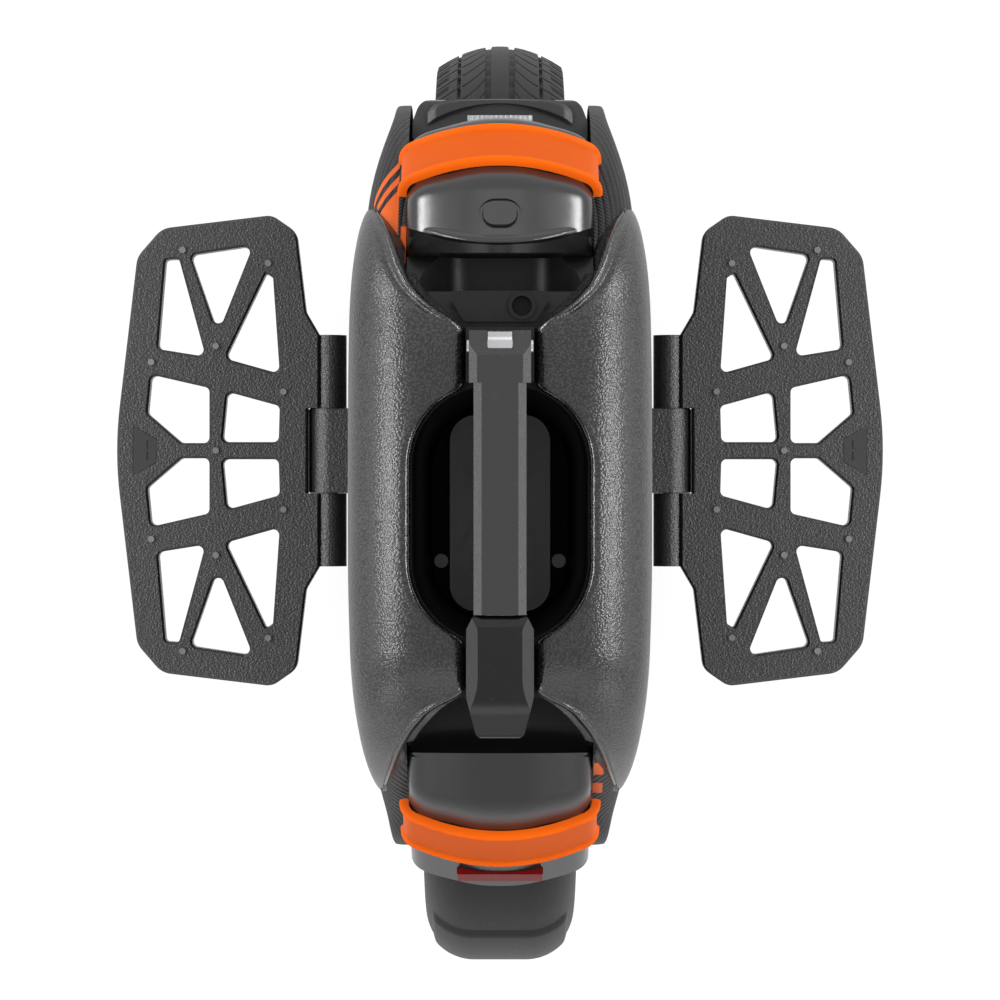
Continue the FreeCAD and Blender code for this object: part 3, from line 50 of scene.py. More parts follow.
# Studio: a pale floor under the tyre and a soft white room. Each side has a high and a low strip lamp
# and two small lamps towards the ends, and a wide lamp stands before each end. The camera is straight
# above the middle of the machine, as for a top view in a shop's picture.
CAMERA_HEIGHT = 2.4
CAMERA_BACK = -0.026
CAMERA_LENS = 154.4
CAMERA_SENSOR = 36.0
CAMERA_REACH = 100.0
FLOOR_SIZE = 40.0
FLOOR_DROP = 0.0004
FLOOR_GREY = (0.5, 0.5, 0.5, 1)
FLOOR_GLOW = 1.14
FLOOR_GLOW_SHARE = 0.8
ROOM_SHOWN = 1.0
ROOM_LIGHT = 0.3
WHITE = (1, 1, 1, 1)
SIDE_LAMPS = (("high_strip", (1.3, 0.0, 1.55), (0, 0, 0.45), (1.7, 0.18), 30),
              ("low_strip", (1.3, 0.0, 0.6), (0, 0, 0.5), (1.7, 0.16), 3),
              ("front_side", (1.15, 1.3, 0.92), (0, 0.11, 0.45), (0.4, 0.25), 12),
              ("rear_side", (1.0, -1.6, 0.65), (0, -0.17, 0.42), (0.6, 0.2), 3.5))
END_LAMP_AIM = (0, 0, 0.4)
END_LAMP_SIZE = (1.2, 0.5)
scene = bpy.context.scene
scene.view_settings.view_transform = "Standard"

camera_data = bpy.data.cameras.new("top_camera")
camera_data.lens = CAMERA_LENS
camera_data.sensor_width = CAMERA_SENSOR
camera_data.sensor_fit = "HORIZONTAL"
camera_data.clip_end = CAMERA_REACH
camera = bpy.data.objects.new("top_camera", camera_data)
camera.location = (0.0, CAMERA_BACK, CAMERA_HEIGHT)
scene.collection.objects.link(camera)
scene.camera = camera


def place(tree, kind, sockets=None, **settings):
    """Add one node, set its settings and fill its sockets with values or with links."""
    item = tree.nodes.new("ShaderNode" + kind)
    for key, value in settings.items():
        setattr(item, key, value)
    for key, value in (sockets or {}).items():
        if isinstance(value, bpy.types.NodeSocket):
            tree.links.new(value, item.inputs[key])
        else:
            item.inputs[key].default_value = value
    return item


def maths(tree, operation, *values):
    """Math node over sockets or numbers; returns its output."""
    return place(tree, "Math", dict(enumerate(values)), operation=operation).outputs[0]


def ramp(tree, source, start=0.0, end=1.0, low=0.0, high=1.0):
    """Map range node from start and end to low and high, held beyond both; returns its output."""
    return place(tree, "MapRange", {0: source, 1: start, 2: end, 3: low, 4: high}).outputs[0]


def new_material(name):
    """Material with an empty node tree; returns both."""
    material = bpy.data.materials.new(name)
    material.use_nodes = True
    material.node_tree.nodes.clear()
    return material, material.node_tree


def shown_rays(tree):
    """Mask of the rays that show the room itself: seen straight, mirrored or through glass."""
    rays = place(tree, "LightPath").outputs
    mirrored = maths(tree, "MAXIMUM", rays["Is Camera Ray"], rays["Is Glossy Ray"])
    return maths(tree, "MAXIMUM", mirrored, rays["Is Transmission Ray"])


room = bpy.data.worlds.new("white_room")
room.use_nodes = True
scene.world = room
tree = room.node_tree
tree.nodes.clear()
room_level = ramp(tree, shown_rays(tree), low=ROOM_LIGHT, high=ROOM_SHOWN)
room_light = place(tree, "Background", {"Color": WHITE, "Strength": room_level})
place(tree, "OutputWorld", {"Surface": room_light.outputs[0]})

floor_mesh = bpy.data.meshes.new("floor")
edge = FLOOR_SIZE / 2
floor_corners = [(x * edge, y * edge, -FLOOR_DROP) for x, y in ((-1, -1), (1, -1), (1, 1), (-1, 1))]
floor_mesh.from_pydata(floor_corners, [], [(0, 1, 2, 3)])
floor = bpy.data.objects.new("floor", floor_mesh)
scene.collection.objects.link(floor)
floor_paint, tree = new_material("pale_floor")
matt = place(tree, "BsdfDiffuse", {"Color": FLOOR_GREY})
glow = place(tree, "Emission", {"Color": WHITE, "Strength": FLOOR_GLOW})
share = maths(tree, "MULTIPLY", shown_rays(tree), FLOOR_GLOW_SHARE)
floor_mix = place(tree, "MixShader", {0: share, 1: matt.outputs[0], 2: glow.outputs[0]})
place(tree, "OutputMaterial", {"Surface": floor_mix.outputs[0]})
floor_mesh.materials.append(floor_paint)


def strip_lamp(name, spot, aim, size, watts):
    """Rectangular lamp at a spot, turned to shine on the aim point."""
    data = bpy.data.lights.new(name, "AREA")
    data.shape = "RECTANGLE"
    data.size, data.size_y = size
    data.energy = watts
    lamp = bpy.data.objects.new(name, data)
    way = np.subtract(aim, spot)
    lamp.location = spot
    lamp.rotation_euler = (math.acos(-way[2] / np.linalg.norm(way)), 0.0, math.atan2(-way[0], way[1]))
    scene.collection.objects.link(lamp)


for side in (-1, 1):
    for name, (x, y, z), aim, size, watts in SIDE_LAMPS:
        strip_lamp(f"{name}_{side}", (side * x, y, z), aim, size, watts)
strip_lamp("front_lamp", (0, 1.6, 1.5), END_LAMP_AIM, END_LAMP_SIZE, 2)
strip_lamp("rear_lamp", (0, -1.7, 1.4), END_LAMP_AIM, END_LAMP_SIZE, 3)


# Tyre: black moulded rubber on the rim. A smooth middle rib runs round it, then a channel of small
# scales, blocks cut by curved grooves that sweep outwards, a wavy groove and shoulder blocks.
TYRE_R = 205.0
TREAD_HALF = 31.0
TREAD_CROWN = 10.5
PITCHES = 88
PITCH_SPAN = 14.7
RIB_HALF = 4.2
CHANNEL_OUT = 7.4
BLOCK_OUT = 19.0
BLOCK_SWEEP = 16.0
SHOULDER_SWEEP = 0.35
SHOULDER_REACH = 12
GROOVE_DEPTH = 2.6
GROOVE_SLIT = (1.05, 0.43)
BLOCK_GROOVES = (7.6, 18.4)
SHOULDER_GROOVES = (21.2, 31.2)
SIPE_DEPTH = 1.5
SIPE_SLIT = (0.9, 0.5)
SIPES = (25, 31.2)
SCALE_DEPTH = 1.2
SCALE_SLOPE = 1.3
WAVE_DEPTH = 2.2
WAVE = (19.1, 20.9)
TREAD_STEPS = np.concatenate([[0, 2.2, 3.9, RIB_HALF, 4.5, 5.2, 6.2, 7.1, CHANNEL_OUT, 7.8],
                              np.linspace(9, 18, 9), [18.6, BLOCK_OUT, 19.4, 20.0, 20.6, 21.0, 21.4, 22],
                              np.linspace(23.4, 29.4, 6), [30.4, TREAD_HALF]])
PITCH_STEPS = np.array([-7.35, -5.6, -4.2, -3.2, -2.2, -1.05, -0.62, 0.0, 0.62, 1.05, 2.2, 3.6, 5.4])
WALL_X = np.array([31.6, 31.9, 31.6, 30.8, 29.6, 28.2, 26.8, 25.6, 24.6, 23.6, 22.8])
WALL_R = np.array([192.5, 188, 183, 178, 173, 168.5, 164.5, 161, 158, 155.2, 152.6])


def grid_piece(name, points, body, material, close_rows=False, close_columns=False, flip=False):
    """Mesh piece over a grid of points: neighbours in a row and column make a face, and closed ways wrap
    round."""
    rows, columns = points.shape[:2]
    row = np.arange(rows if close_rows else rows - 1)[:, None]
    column = np.arange(columns if close_columns else columns - 1)[None, :]
    after_row, after_column = (row + 1) % rows, (column + 1) % columns
    faces = np.stack([row * columns + column, row * columns + after_column,
                      after_row * columns + after_column, after_row * columns + column], -1).reshape(-1, 4)
    if flip:
        faces = faces[:, ::-1]
    mesh = bpy.data.meshes.new(name)
    mesh.vertices.add(rows * columns)
    mesh.vertices.foreach_set("co", points.reshape(-1).astype(np.float32))
    mesh.loops.add(faces.size)
    mesh.loops.foreach_set("vertex_index", faces.reshape(-1).astype(np.int32))
    mesh.polygons.add(len(faces))
    mesh.polygons.foreach_set("loop_start", np.arange(0, faces.size, 4, dtype=np.int32))
    mesh.update(calc_edges=True)
    mesh.validate()
    mesh.shade_smooth()
    mesh.materials.append(material)
    piece = bpy.data.objects.new(name, mesh)
    scene.collection.objects.link(piece)
    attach(piece, body)
    return piece


def point_values(piece, name, values):
    """Keep one value per point of a piece under a name that its material reads."""
    attribute = piece.data.attributes.new(name, "FLOAT", "POINT")
    attribute.data.foreach_set("value", values.astype(np.float32))


def new_group(name, inputs, outputs):
    """Empty shader node group with its sockets; returns the tree, its inputs and its outputs."""
    tree = bpy.data.node_groups.new(name, "ShaderNodeTree")
    for label, kind, value in inputs:
        socket = tree.interface.new_socket(name=label, in_out="INPUT", socket_type="NodeSocket" + kind)
        socket.default_value = value
    for label, kind in outputs:
        tree.interface.new_socket(name=label, in_out="OUTPUT", socket_type="NodeSocket" + kind)
    return tree, tree.nodes.new("NodeGroupInput").outputs, tree.nodes.new("NodeGroupOutput").inputs


def link_out(tree, outputs, **sources):
    """Join sockets to the group's outputs by name."""
    for label, source in sources.items():
        tree.links.new(source, outputs[label])


def scaled(tree, colour, level):
    """Colour times a level; returns the output."""
    return place(tree, "VectorMath", {0: colour, "Scale": level}, operation="SCALE").outputs[0]


# Moulded grain: fine noise for the bump, slow noise for the tone, sparse pale scuffs where a third
# noise peaks.
GRAIN_SOCKETS = (("Tone", "Color", (0.03, 0.03, 0.03, 1)), ("Swing", "Float", 0.15),
                 ("Grain", "Float", 1200.0), ("Depth", "Float", 0.25), ("Rough", "Float", 0.55),
                 ("Scuff", "Float", 0.0))
SURFACE_SOCKETS = (("Color", "Color"), ("Roughness", "Float"), ("Normal", "Vector"))
GRAIN_HEIGHT = 0.0006
SCUFF_LIFT = (0.06, 0.06, 0.06)
grain_tree, grain_in, grain_out = new_group("moulded_grain", GRAIN_SOCKETS, SURFACE_SOCKETS)
coords = place(grain_tree, "TexCoord").outputs["Object"]
fine = place(grain_tree, "TexNoise", {"Vector": coords, "Scale": grain_in["Grain"], "Detail": 3.0}).outputs[0]
slow = place(grain_tree, "TexNoise", {"Vector": coords, "Scale": 26.0, "Detail": 4.0}).outputs[0]
peak = place(grain_tree, "TexNoise", {"Vector": coords, "Scale": 180.0, "Detail": 6.0, "Roughness": 0.7})
least = maths(grain_tree, "SUBTRACT", 1.0, grain_in["Swing"])
most = maths(grain_tree, "ADD", 1.0, grain_in["Swing"])
tone = scaled(grain_tree, grain_in["Tone"], ramp(grain_tree, slow, 0.25, 0.75, least, most))
lighten = maths(grain_tree, "MULTIPLY", ramp(grain_tree, peak.outputs[0], 0.62, 0.74), grain_in["Scuff"])
paler = place(grain_tree, "VectorMath", {0: tone, 1: SCUFF_LIFT}, operation="ADD").outputs[0]
mixed = place(grain_tree, "Mix", {"Factor": lighten, "A": tone, "B": paler}, data_type="VECTOR")
rough = maths(grain_tree, "ADD", grain_in["Rough"], ramp(grain_tree, fine, 0.3, 0.7, -0.07, 0.07))
bump = place(grain_tree, "Bump", {"Strength": grain_in["Depth"], "Distance": GRAIN_HEIGHT, "Height": fine})
link_out(grain_tree, grain_out, Color=mixed.outputs[1], Roughness=rough, Normal=bump.outputs[0])


def principled(tree, sockets):
    """Principled surface with the given sockets, joined to the material's output."""
    shader = place(tree, "BsdfPrincipled", sockets)
    place(tree, "OutputMaterial", {"Surface": shader.outputs[0]})


def grain_finish(name, tone, rough, grain=1200.0, depth=0.25, swing=0.15, scuff=0.0, metal=0.0, gloss=0.5,
                 coat=0.0):
    """Material from the moulded grain group: tone, roughness and bump from the group, metal and gloss set."""
    material, tree = new_material(name)
    surface = place(tree, "Group", {"Tone": (*tone, 1.0), "Swing": swing, "Grain": grain, "Depth": depth,
                                    "Rough": rough, "Scuff": scuff}, node_tree=grain_tree).outputs
    principled(tree, {"Base Color": surface["Color"], "Metallic": metal, "Roughness": surface["Roughness"],
                      "Normal": surface["Normal"], "Specular IOR Level": gloss, "Coat Weight": coat})
    return material


def dress(material, *names):
    """Give the named CAD nodes a finish."""
    for name in names:
        for slot in nodes[name].material_slots:
            slot.material = material


def tread_grid():
    """Tyre skin, left bead to right bead across and round the axle along. The rows follow the grooves:
    each is swept round by an amount that grows with the distance from the middle. The depth is the
    deepest of the channel, the block grooves, the wavy groove and the shoulder sipes. The steps within
    one pitch are written for a pitch of PITCH_SPAN and stretched to the real one."""
    crown = TYRE_R - TREAD_CROWN * (TREAD_STEPS / TREAD_HALF) ** 2
    x_half = np.concatenate([TREAD_STEPS, WALL_X])
    r_half = np.concatenate([crown, WALL_R])
    reach = np.concatenate([TREAD_STEPS, np.full(len(WALL_X), WALL_X[0])])
    across = np.concatenate([-x_half[:0:-1], x_half])
    radius = np.concatenate([r_half[:0:-1], r_half])
    away = np.concatenate([reach[:0:-1], reach])[None, :]
    pitch = 2 * np.pi * TYRE_R / PITCHES
    starts = np.arange(PITCHES)[:, None] * pitch
    along = (starts + PITCH_STEPS[None, :] * pitch / PITCH_SPAN).reshape(-1, 1)
    in_pitch = np.tile(PITCH_STEPS, PITCHES)[:, None]

    def between(low, high):
        """Mask of the columns whose distance from the middle lies between two limits."""
        return (away > low) & (away < high)

    def slit(middle, half, flank):
        """One in a slit across the pitch, falling to zero over its flank."""
        return np.clip((half - np.abs(in_pitch - middle)) / flank, 0, 1)

    step = np.clip((away - CHANNEL_OUT) / (BLOCK_OUT - CHANNEL_OUT), 0, 1)
    past_blocks = np.clip(away - BLOCK_OUT, 0, SHOULDER_REACH)
    sweep = BLOCK_SWEEP * (1 - (1 - step) ** 1.8) + SHOULDER_SWEEP * past_blocks
    depth = GROOVE_DEPTH * slit(0.0, *GROOVE_SLIT) * (between(*BLOCK_GROOVES) | between(*SHOULDER_GROOVES))
    sipes = slit(PITCH_STEPS[-1], *SIPE_SLIT) + slit(PITCH_STEPS[0], *SIPE_SLIT)
    depth = np.maximum(depth, SIPE_DEPTH * np.clip(sipes, 0, 1) * between(*SIPES))
    scales = SCALE_DEPTH + SCALE_SLOPE * ((in_pitch + PITCH_SPAN / 2) / PITCH_SPAN) ** 1.5
    depth = np.maximum(depth, scales * between(RIB_HALF + 0.2, CHANNEL_OUT))
    depth = np.maximum(depth, WAVE_DEPTH * between(*WAVE) * (0.55 + 0.45 * (in_pitch > -3)))
    angle = (along + sweep) / TYRE_R
    turn = radius[None, :] - depth
    middle = np.broadcast_to(across[None, :], turn.shape)
    return np.stack([middle, turn * np.cos(angle), turn * np.sin(angle) + TYRE_R], -1) / MM_PER_M


rubber = grain_finish("tyre_rubber", (0.012, 0.012, 0.0124), 0.55, grain=2600, depth=0.2, swing=0.2,
                      gloss=0.18)
tyre = grid_piece("tyre_tread", tread_grid(), "wheel", rubber, close_rows=True)
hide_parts("tyre")


# Rim and hub motor: black anodised rim, satin painted covers, plated screws and magnets, a stack of
# varnished laminations with enamelled copper in its slots, all on one fixed steel axle.
dress(grain_finish("rim_anodised", (0.05, 0.05, 0.053), 0.38, grain=1800, depth=0.08, metal=1.0, scuff=0.4),
      "rim")
dress(grain_finish("motor_paint", (0.028, 0.028, 0.03), 0.42, grain=900, depth=0.12, scuff=0.3, coat=0.15),
      "motor_cover_right", "motor_cover_left")
dress(grain_finish("zinc_steel", (0.46, 0.46, 0.47), 0.34, grain=2400, depth=0.08, metal=1.0, scuff=0.5),
      "motor_cover_screws", "axle", "axle_nuts", "wheel_bearing_right", "wheel_bearing_left", "hanger_bolts",
      "pedal_pin_right", "pedal_pin_left")
dress(grain_finish("nickel_magnet", (0.5, 0.49, 0.47), 0.25, grain=2000, depth=0.04, metal=1.0),
      "rotor_magnets")
dress(grain_finish("lamination_stack", (0.2, 0.2, 0.21), 0.45, grain=2600, depth=0.3, metal=1.0),
      "stator_core")
dress(grain_finish("enamelled_copper", (0.55, 0.22, 0.09), 0.3, grain=700, depth=0.4, metal=1.0, coat=0.4),
      "stator_windings")
dress(grain_finish("plated_brass", (0.42, 0.41, 0.39), 0.28, grain=1600, depth=0.05, metal=1.0),
      "valve_stem")


# Wheel arch, pedal hangers and inner electrics: matte black plastic arch, anodised hanger plates,
# wrapped battery packs, finned heat sink with its board, speaker and motor cable.
dress(grain_finish("arch_plastic", (0.013, 0.013, 0.0135), 0.42, grain=1500, depth=0.2, gloss=0.15),
      "wheel_arch", "speaker")
dress(grain_finish("hanger_anodised", (0.09, 0.09, 0.095), 0.4, grain=1800, depth=0.1, metal=1.0, scuff=0.4),
      "pedal_hanger_right", "pedal_hanger_left")
dress(grain_finish("battery_wrap", (0.03, 0.07, 0.19), 0.35, grain=240, depth=0.3),
      "battery_pack_right", "battery_pack_left")
dress(grain_finish("bare_alloy", (0.6, 0.6, 0.61), 0.4, grain=2200, depth=0.1, metal=1.0), "heat_sink")
dress(grain_finish("board_mask", (0.02, 0.14, 0.05), 0.4, grain=600, depth=0.2), "control_board")
dress(grain_finish("cable_rubber", (0.018, 0.018, 0.018), 0.55, grain=1600, depth=0.2), "motor_cable")


# Pedals: cast alloy plates on hinge pins, powder coated in a coarse black texture with sparse pale
# scuffs. They carry steel grip studs and a smooth plastic latch with two slots at the tip. Rings and
# a rubber strip close the gaps round each bracket.
PIN_X = 90.0
PIN_Z = 133.0
WASHER_TURNS = 48
WASHER_SECTION = np.array([(4.4, -0.2), (10.3, -0.2), (10.6, 0.0), (10.3, 0.2), (4.4, 0.2), (4.2, 0.0)])
WASHER_Y = (("front", 22.25), ("rear", -22.25))
SEAL_HALF = 22.48
SEAL_STEPS = 24
SEAL_SECTION = np.array([(101.05, 132.6), (101.6, 131.3), (102.5, 131.0), (102.5, 142.4), (101.9, 142.2),
                         (101.4, 141.4), (101.4, 136.0), (101.05, 133.6)])
SLOT_X = 185.8
SLOT_Y = (("front", 3.2), ("rear", -2.8))
SLOT_STEPS_X = np.array([-0.6, -0.45, 0.45, 0.6])
SLOT_STEPS_Y = np.array([-2.4, -2.2, 2.2, 2.4])
SLOT_RISE = np.array([-0.05, 0.1, 0.1, -0.05])
dress(grain_finish("cast_powder_coat", (0.011, 0.011, 0.0115), 0.38, grain=900, depth=0.75, swing=0.2,
                   scuff=0.25, gloss=0.55),
      "pedal_right", "pedal_bracket_right", "pedal_left", "pedal_bracket_left")
dress(grain_finish("stud_steel", (0.16, 0.16, 0.165), 0.4, grain=2600, depth=0.1, metal=1.0, scuff=0.6),
      "pedal_studs_right", "pedal_studs_left")
latch_plastic = grain_finish("latch_plastic", (0.014, 0.014, 0.015), 0.36, grain=1600, depth=0.15)
dress(latch_plastic, "pedal_insert_right", "pedal_insert_left")
# the latch's slots are drawn as near-black sheets laid on its top: painted shade for their depth
slot_shade_sheet = grain_finish("slot_shade_sheet", (0.002, 0.002, 0.002), 0.8, grain=1600, depth=0.1)


def washer_grid(side, middle):
    """Flat ring round a pedal pin at one Y: its section of radius and width is turned about the pin."""
    turn = np.linspace(0, 2 * np.pi, WASHER_TURNS, endpoint=False)[:, None]
    radius, width = WASHER_SECTION[None, :, 0], WASHER_SECTION[None, :, 1]
    return np.stack([side * PIN_X + radius * np.cos(turn), middle + width + 0 * turn,
                     PIN_Z + radius * np.sin(turn)], -1) / MM_PER_M


def seal_grid(side):
    """Rubber strip along the notch of a pedal: its section of X and Z is carried along Y."""
    along = np.linspace(-SEAL_HALF, SEAL_HALF, SEAL_STEPS)[:, None]
    x, z = SEAL_SECTION[None, :, 0], SEAL_SECTION[None, :, 1]
    return np.stack([side * x + 0 * along, along + 0 * x, z + 0 * along], -1) / MM_PER_M


def slot_grid(side, middle, top):
    """Near-black sheet along Y on a pedal insert, painted shade for a slot: flat on top, its four edges fall
    into the insert.
    """
    rise = np.minimum(SLOT_RISE[:, None], SLOT_RISE[None, :])
    return np.stack([side * (SLOT_X + SLOT_STEPS_X[None, :]) + 0 * rise,
                     middle + SLOT_STEPS_Y[:, None] + 0 * rise, top * MM_PER_M + rise], -1) / MM_PER_M


for label, side in (("right", 1), ("left", -1)):
    body = "pedal_" + label
    insert_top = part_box("pedal_insert_" + label)[1][2]
    for end, middle in SLOT_Y:
        grid_piece(f"insert_slot_shade_{label}_{end}", slot_grid(side, middle, insert_top), body,
                   slot_shade_sheet, flip=side < 0)
    grid_piece("pedal_seal_" + label, seal_grid(side), body, latch_plastic,
               close_columns=True, flip=side < 0)
    for end, middle in WASHER_Y:
        grid_piece(f"pedal_washer_{label}_{end}", washer_grid(side, middle), body,
                   latch_plastic, close_rows=True, close_columns=True)


# Side shells: moulded plastic with a fine woven knurl, screwed to the arch. Three curved orange flashes
# and a short stripe are printed on the left one in front of its pad, and two short marks on the right
# one behind its pad.
KNURL_PITCH = 0.0034
KNURL_HEIGHT = 0.0009
SHELL_BLACK = (0.011, 0.011, 0.0114)
PRINT_ORANGE = (0.64, 0.1, 0.005)
BOW_SIDE = 0.0575
BOW_ROUND = 0.05
BOW_FRONT = 0.106


def object_axes(tree):
    """Outputs X, Y and Z of the object coordinates."""
    return place(tree, "SeparateXYZ", {0: place(tree, "TexCoord").outputs["Object"]}).outputs


shell_plastic, tree = new_material("knurled_shell")
across, along, upright = object_axes(tree)
down = maths(tree, "SUBTRACT", maths(tree, "ABSOLUTE", across), upright)
waves = []
for way in ("ADD", "SUBTRACT"):
    turns = maths(tree, "MULTIPLY", maths(tree, way, along, down), math.pi / KNURL_PITCH)
    waves.append(maths(tree, "ABSOLUTE", maths(tree, "SINE", turns)))
knurl = maths(tree, "MINIMUM", *waves)
# the flashes bow forwards and inwards: depth is how far behind the outermost bow a point lies
inset = maths(tree, "MAXIMUM", maths(tree, "ADD", across, BOW_SIDE), 0.0)
bow = maths(tree, "SQRT", maths(tree, "MULTIPLY", inset, BOW_ROUND))
depth = maths(tree, "SUBTRACT", maths(tree, "ADD", bow, BOW_FRONT), along)
# each print is bounded by ramps: a coordinate, where the print is empty and where it is full
high_up = (upright, 0.395, 0.4)
left_side = (across, -0.0458, -0.0462)
right_mark = ((across, 0.0425, 0.043), (across, 0.0475, 0.047), high_up)
prints = (
    ((depth, 0.0, 0.0003), (depth, 0.0036, 0.0033), left_side, high_up),
    ((depth, 0.0072, 0.0075), (depth, 0.0112, 0.0109), left_side, high_up),
    ((depth, 0.0144, 0.0147), left_side, (along, 0.084, 0.085), (upright, 0.416, 0.42)),
    ((across, -0.0449, -0.0446), (across, -0.04, -0.0405), (along, 0.08, 0.081), (along, 0.098, 0.097),
     high_up),
    ((along, -0.152, -0.1515), (along, -0.1455, -0.146), *right_mark),
    ((along, -0.162, -0.1615), (along, -0.156, -0.1565), *right_mark),
)
flash = 0.0
for edges in prints:
    band = 1.0
    for source, empty, full in edges:
        band = maths(tree, "MULTIPLY", band, ramp(tree, source, empty, full))
    flash = maths(tree, "MAXIMUM", flash, band)
# the knurl's grooves are painted darker and the cells between them lighter: painted shade in the grooves,
# left off the orange prints
black = scaled(tree, SHELL_BLACK, ramp(tree, knurl, low=0.35, high=1.25))
print_mix = place(tree, "Mix", {"Factor": flash, "A": black, "B": PRINT_ORANGE}, data_type="VECTOR")
weave = ramp(tree, flash, low=0.7, high=0.08)
bump = place(tree, "Bump", {"Strength": weave, "Distance": KNURL_HEIGHT, "Height": knurl})
principled(tree, {"Base Color": print_mix.outputs[1], "Roughness": 0.5, "Normal": bump.outputs[0],
                  "Specular IOR Level": 0.3})
dress(shell_plastic, "side_shell_right", "side_shell_left")
dress(grain_finish("black_screw", (0.05, 0.05, 0.052), 0.35, grain=2000, depth=0.1, metal=1.0),
      "shell_screws")


# Deck and hand well: matte deck between the shells, a black tub under the handle with a grey floor
# panel, and a small front panel with the round charge socket. A hollow trim closes the deck before the
# tail cover, and a foam strip closes it behind the hood.
DISH_HALF = 40.5
DISH_REAR = -141.0
DISH_RUN = 12.5
DISH_BOW = 1.5
DISH_EDGE_Z = 468.5
DISH_ARCH = 12.4
DISH_ARCH_HALF = 38
TRAY_Z = 450.9
STRIP_HALF = 41
STRIP_Y = np.array([83.05, 87.0, 92.0, 92.0, 87.0, 83.05])
STRIP_DROP = np.array([0.0, 0.0, 0.0, -1.2, -1.2, -1.2])
SCOOP_X = (0, 20, 27.6, 42)
SCOOP_Z = (465.6, 465.6, 476.6, 476.6)
deck_plastic = grain_finish("deck_plastic", (0.006, 0.006, 0.0063), 0.4, grain=1500, depth=0.2, gloss=0.2)
dress(deck_plastic, "deck_frame", "port_panel")
dress(grain_finish("port_plastic", (0.007, 0.007, 0.0073), 0.3, grain=1500, depth=0.1, gloss=0.2),
      "charge_port")
dress(grain_finish("well_plastic", (0.002, 0.002, 0.0021), 0.5, grain=1300, depth=0.2, gloss=0.04),
      "hand_well")
dress(grain_finish("floor_panel", (0.3, 0.3, 0.305), 0.38, grain=1400, depth=0.15, swing=0.1, gloss=0.2),
      "well_floor")


def dish_grid():
    """Hollow trim between the tail cover's front edge and the tray: for each X it falls steeply from under
    the cover's arched edge, then runs out level on the tray."""
    x = np.linspace(-DISH_HALF, DISH_HALF, 61)[:, None]
    run = np.linspace(0, 1, 17)[None, :]
    edge = DISH_EDGE_Z - DISH_ARCH * (x / DISH_ARCH_HALF) ** 2
    y = DISH_REAR + DISH_RUN * run - DISH_BOW * (x / DISH_HALF) ** 2
    z = TRAY_Z + np.clip(edge - TRAY_Z, 0.2, None) * (1 - run) ** 2.2
    return np.stack([x + 0 * run, y, z], -1) / MM_PER_M


def strip_grid():
    """Foam strip from the scoop's front face to under the hood: a flat closed section carried along X, whose
    height follows the scoop's hollow."""
    x = np.linspace(-STRIP_HALF, STRIP_HALF, 83)[:, None]
    top = np.interp(np.abs(x), SCOOP_X, SCOOP_Z)
    y = STRIP_Y[None, :]
    return np.stack([x + 0 * y, y + 0 * x, top + STRIP_DROP[None, :]], -1) / MM_PER_M


grid_piece("rear_dish", dish_grid(), "chassis", deck_plastic)
grid_piece("hood_seal", strip_grid(), "chassis", deck_plastic, close_columns=True, flip=True)


# Leg pads: moulded foam with a pebbled skin, glued over the shoulders of the side shells. The rims are
# rolled round with a groove behind them, and the top swells a little between them.
PEBBLE_SOCKETS = (("Tone", "Color", (0.02, 0.02, 0.02, 1)), ("Pebble", "Float", 700.0),
                  ("Depth", "Float", 0.5), ("Rough", "Float", 0.5))
PEBBLE_HEIGHT = 0.0008
PAD_BLACK = (0.017, 0.017, 0.0175, 1.0)
PAD_PEBBLE = 980.0
pebble_tree, pebble_in, pebble_out = new_group("pebbled_skin_painted_sheen", PEBBLE_SOCKETS, SURFACE_SOCKETS)
coords = place(pebble_tree, "TexCoord").outputs["Object"]
cells = place(pebble_tree, "TexVoronoi", {"Vector": coords, "Scale": pebble_in["Pebble"], "Smoothness": 0.6},
              feature="SMOOTH_F1")
dome = ramp(pebble_tree, cells.outputs["Distance"], 0.1, 0.7, 1.0, 0.0)
cloud = place(pebble_tree, "TexNoise", {"Vector": coords, "Scale": 45.0, "Detail": 4.0}).outputs[0]
drift = ramp(pebble_tree, cloud, 0.3, 0.7, 0.94, 1.06)
# pebble tops are painted up to ten times lighter than the hollows between them: a painted highlight on each
# pebble and painted shade in the hollows
level = maths(pebble_tree, "MULTIPLY", ramp(pebble_tree, dome, 0.2, 0.9, 0.2, 2.0), drift)
tone = scaled(pebble_tree, pebble_in["Tone"], level)
rough = maths(pebble_tree, "ADD", pebble_in["Rough"], ramp(pebble_tree, cloud, 0.3, 0.7, -0.02, 0.02))
bump = place(pebble_tree, "Bump", {"Strength": pebble_in["Depth"], "Distance": PEBBLE_HEIGHT, "Height": dome})
link_out(pebble_tree, pebble_out, Color=tone, Roughness=rough, Normal=bump.outputs[0])

pad_foam, tree = new_material("pebbled_foam")
rolled = place(tree, "Attribute", attribute_name="rim").outputs["Fac"]
skin = place(tree, "Group", {"Tone": PAD_BLACK, "Pebble": PAD_PEBBLE,
                             "Depth": ramp(tree, rolled, low=0.2, high=0.03),
                             "Rough": ramp(tree, rolled, low=0.32, high=0.15)}, node_tree=pebble_tree).outputs
principled(tree, {"Base Color": skin["Color"], "Roughness": skin["Roughness"], "Normal": skin["Normal"],
                  "Specular IOR Level": 0.55})

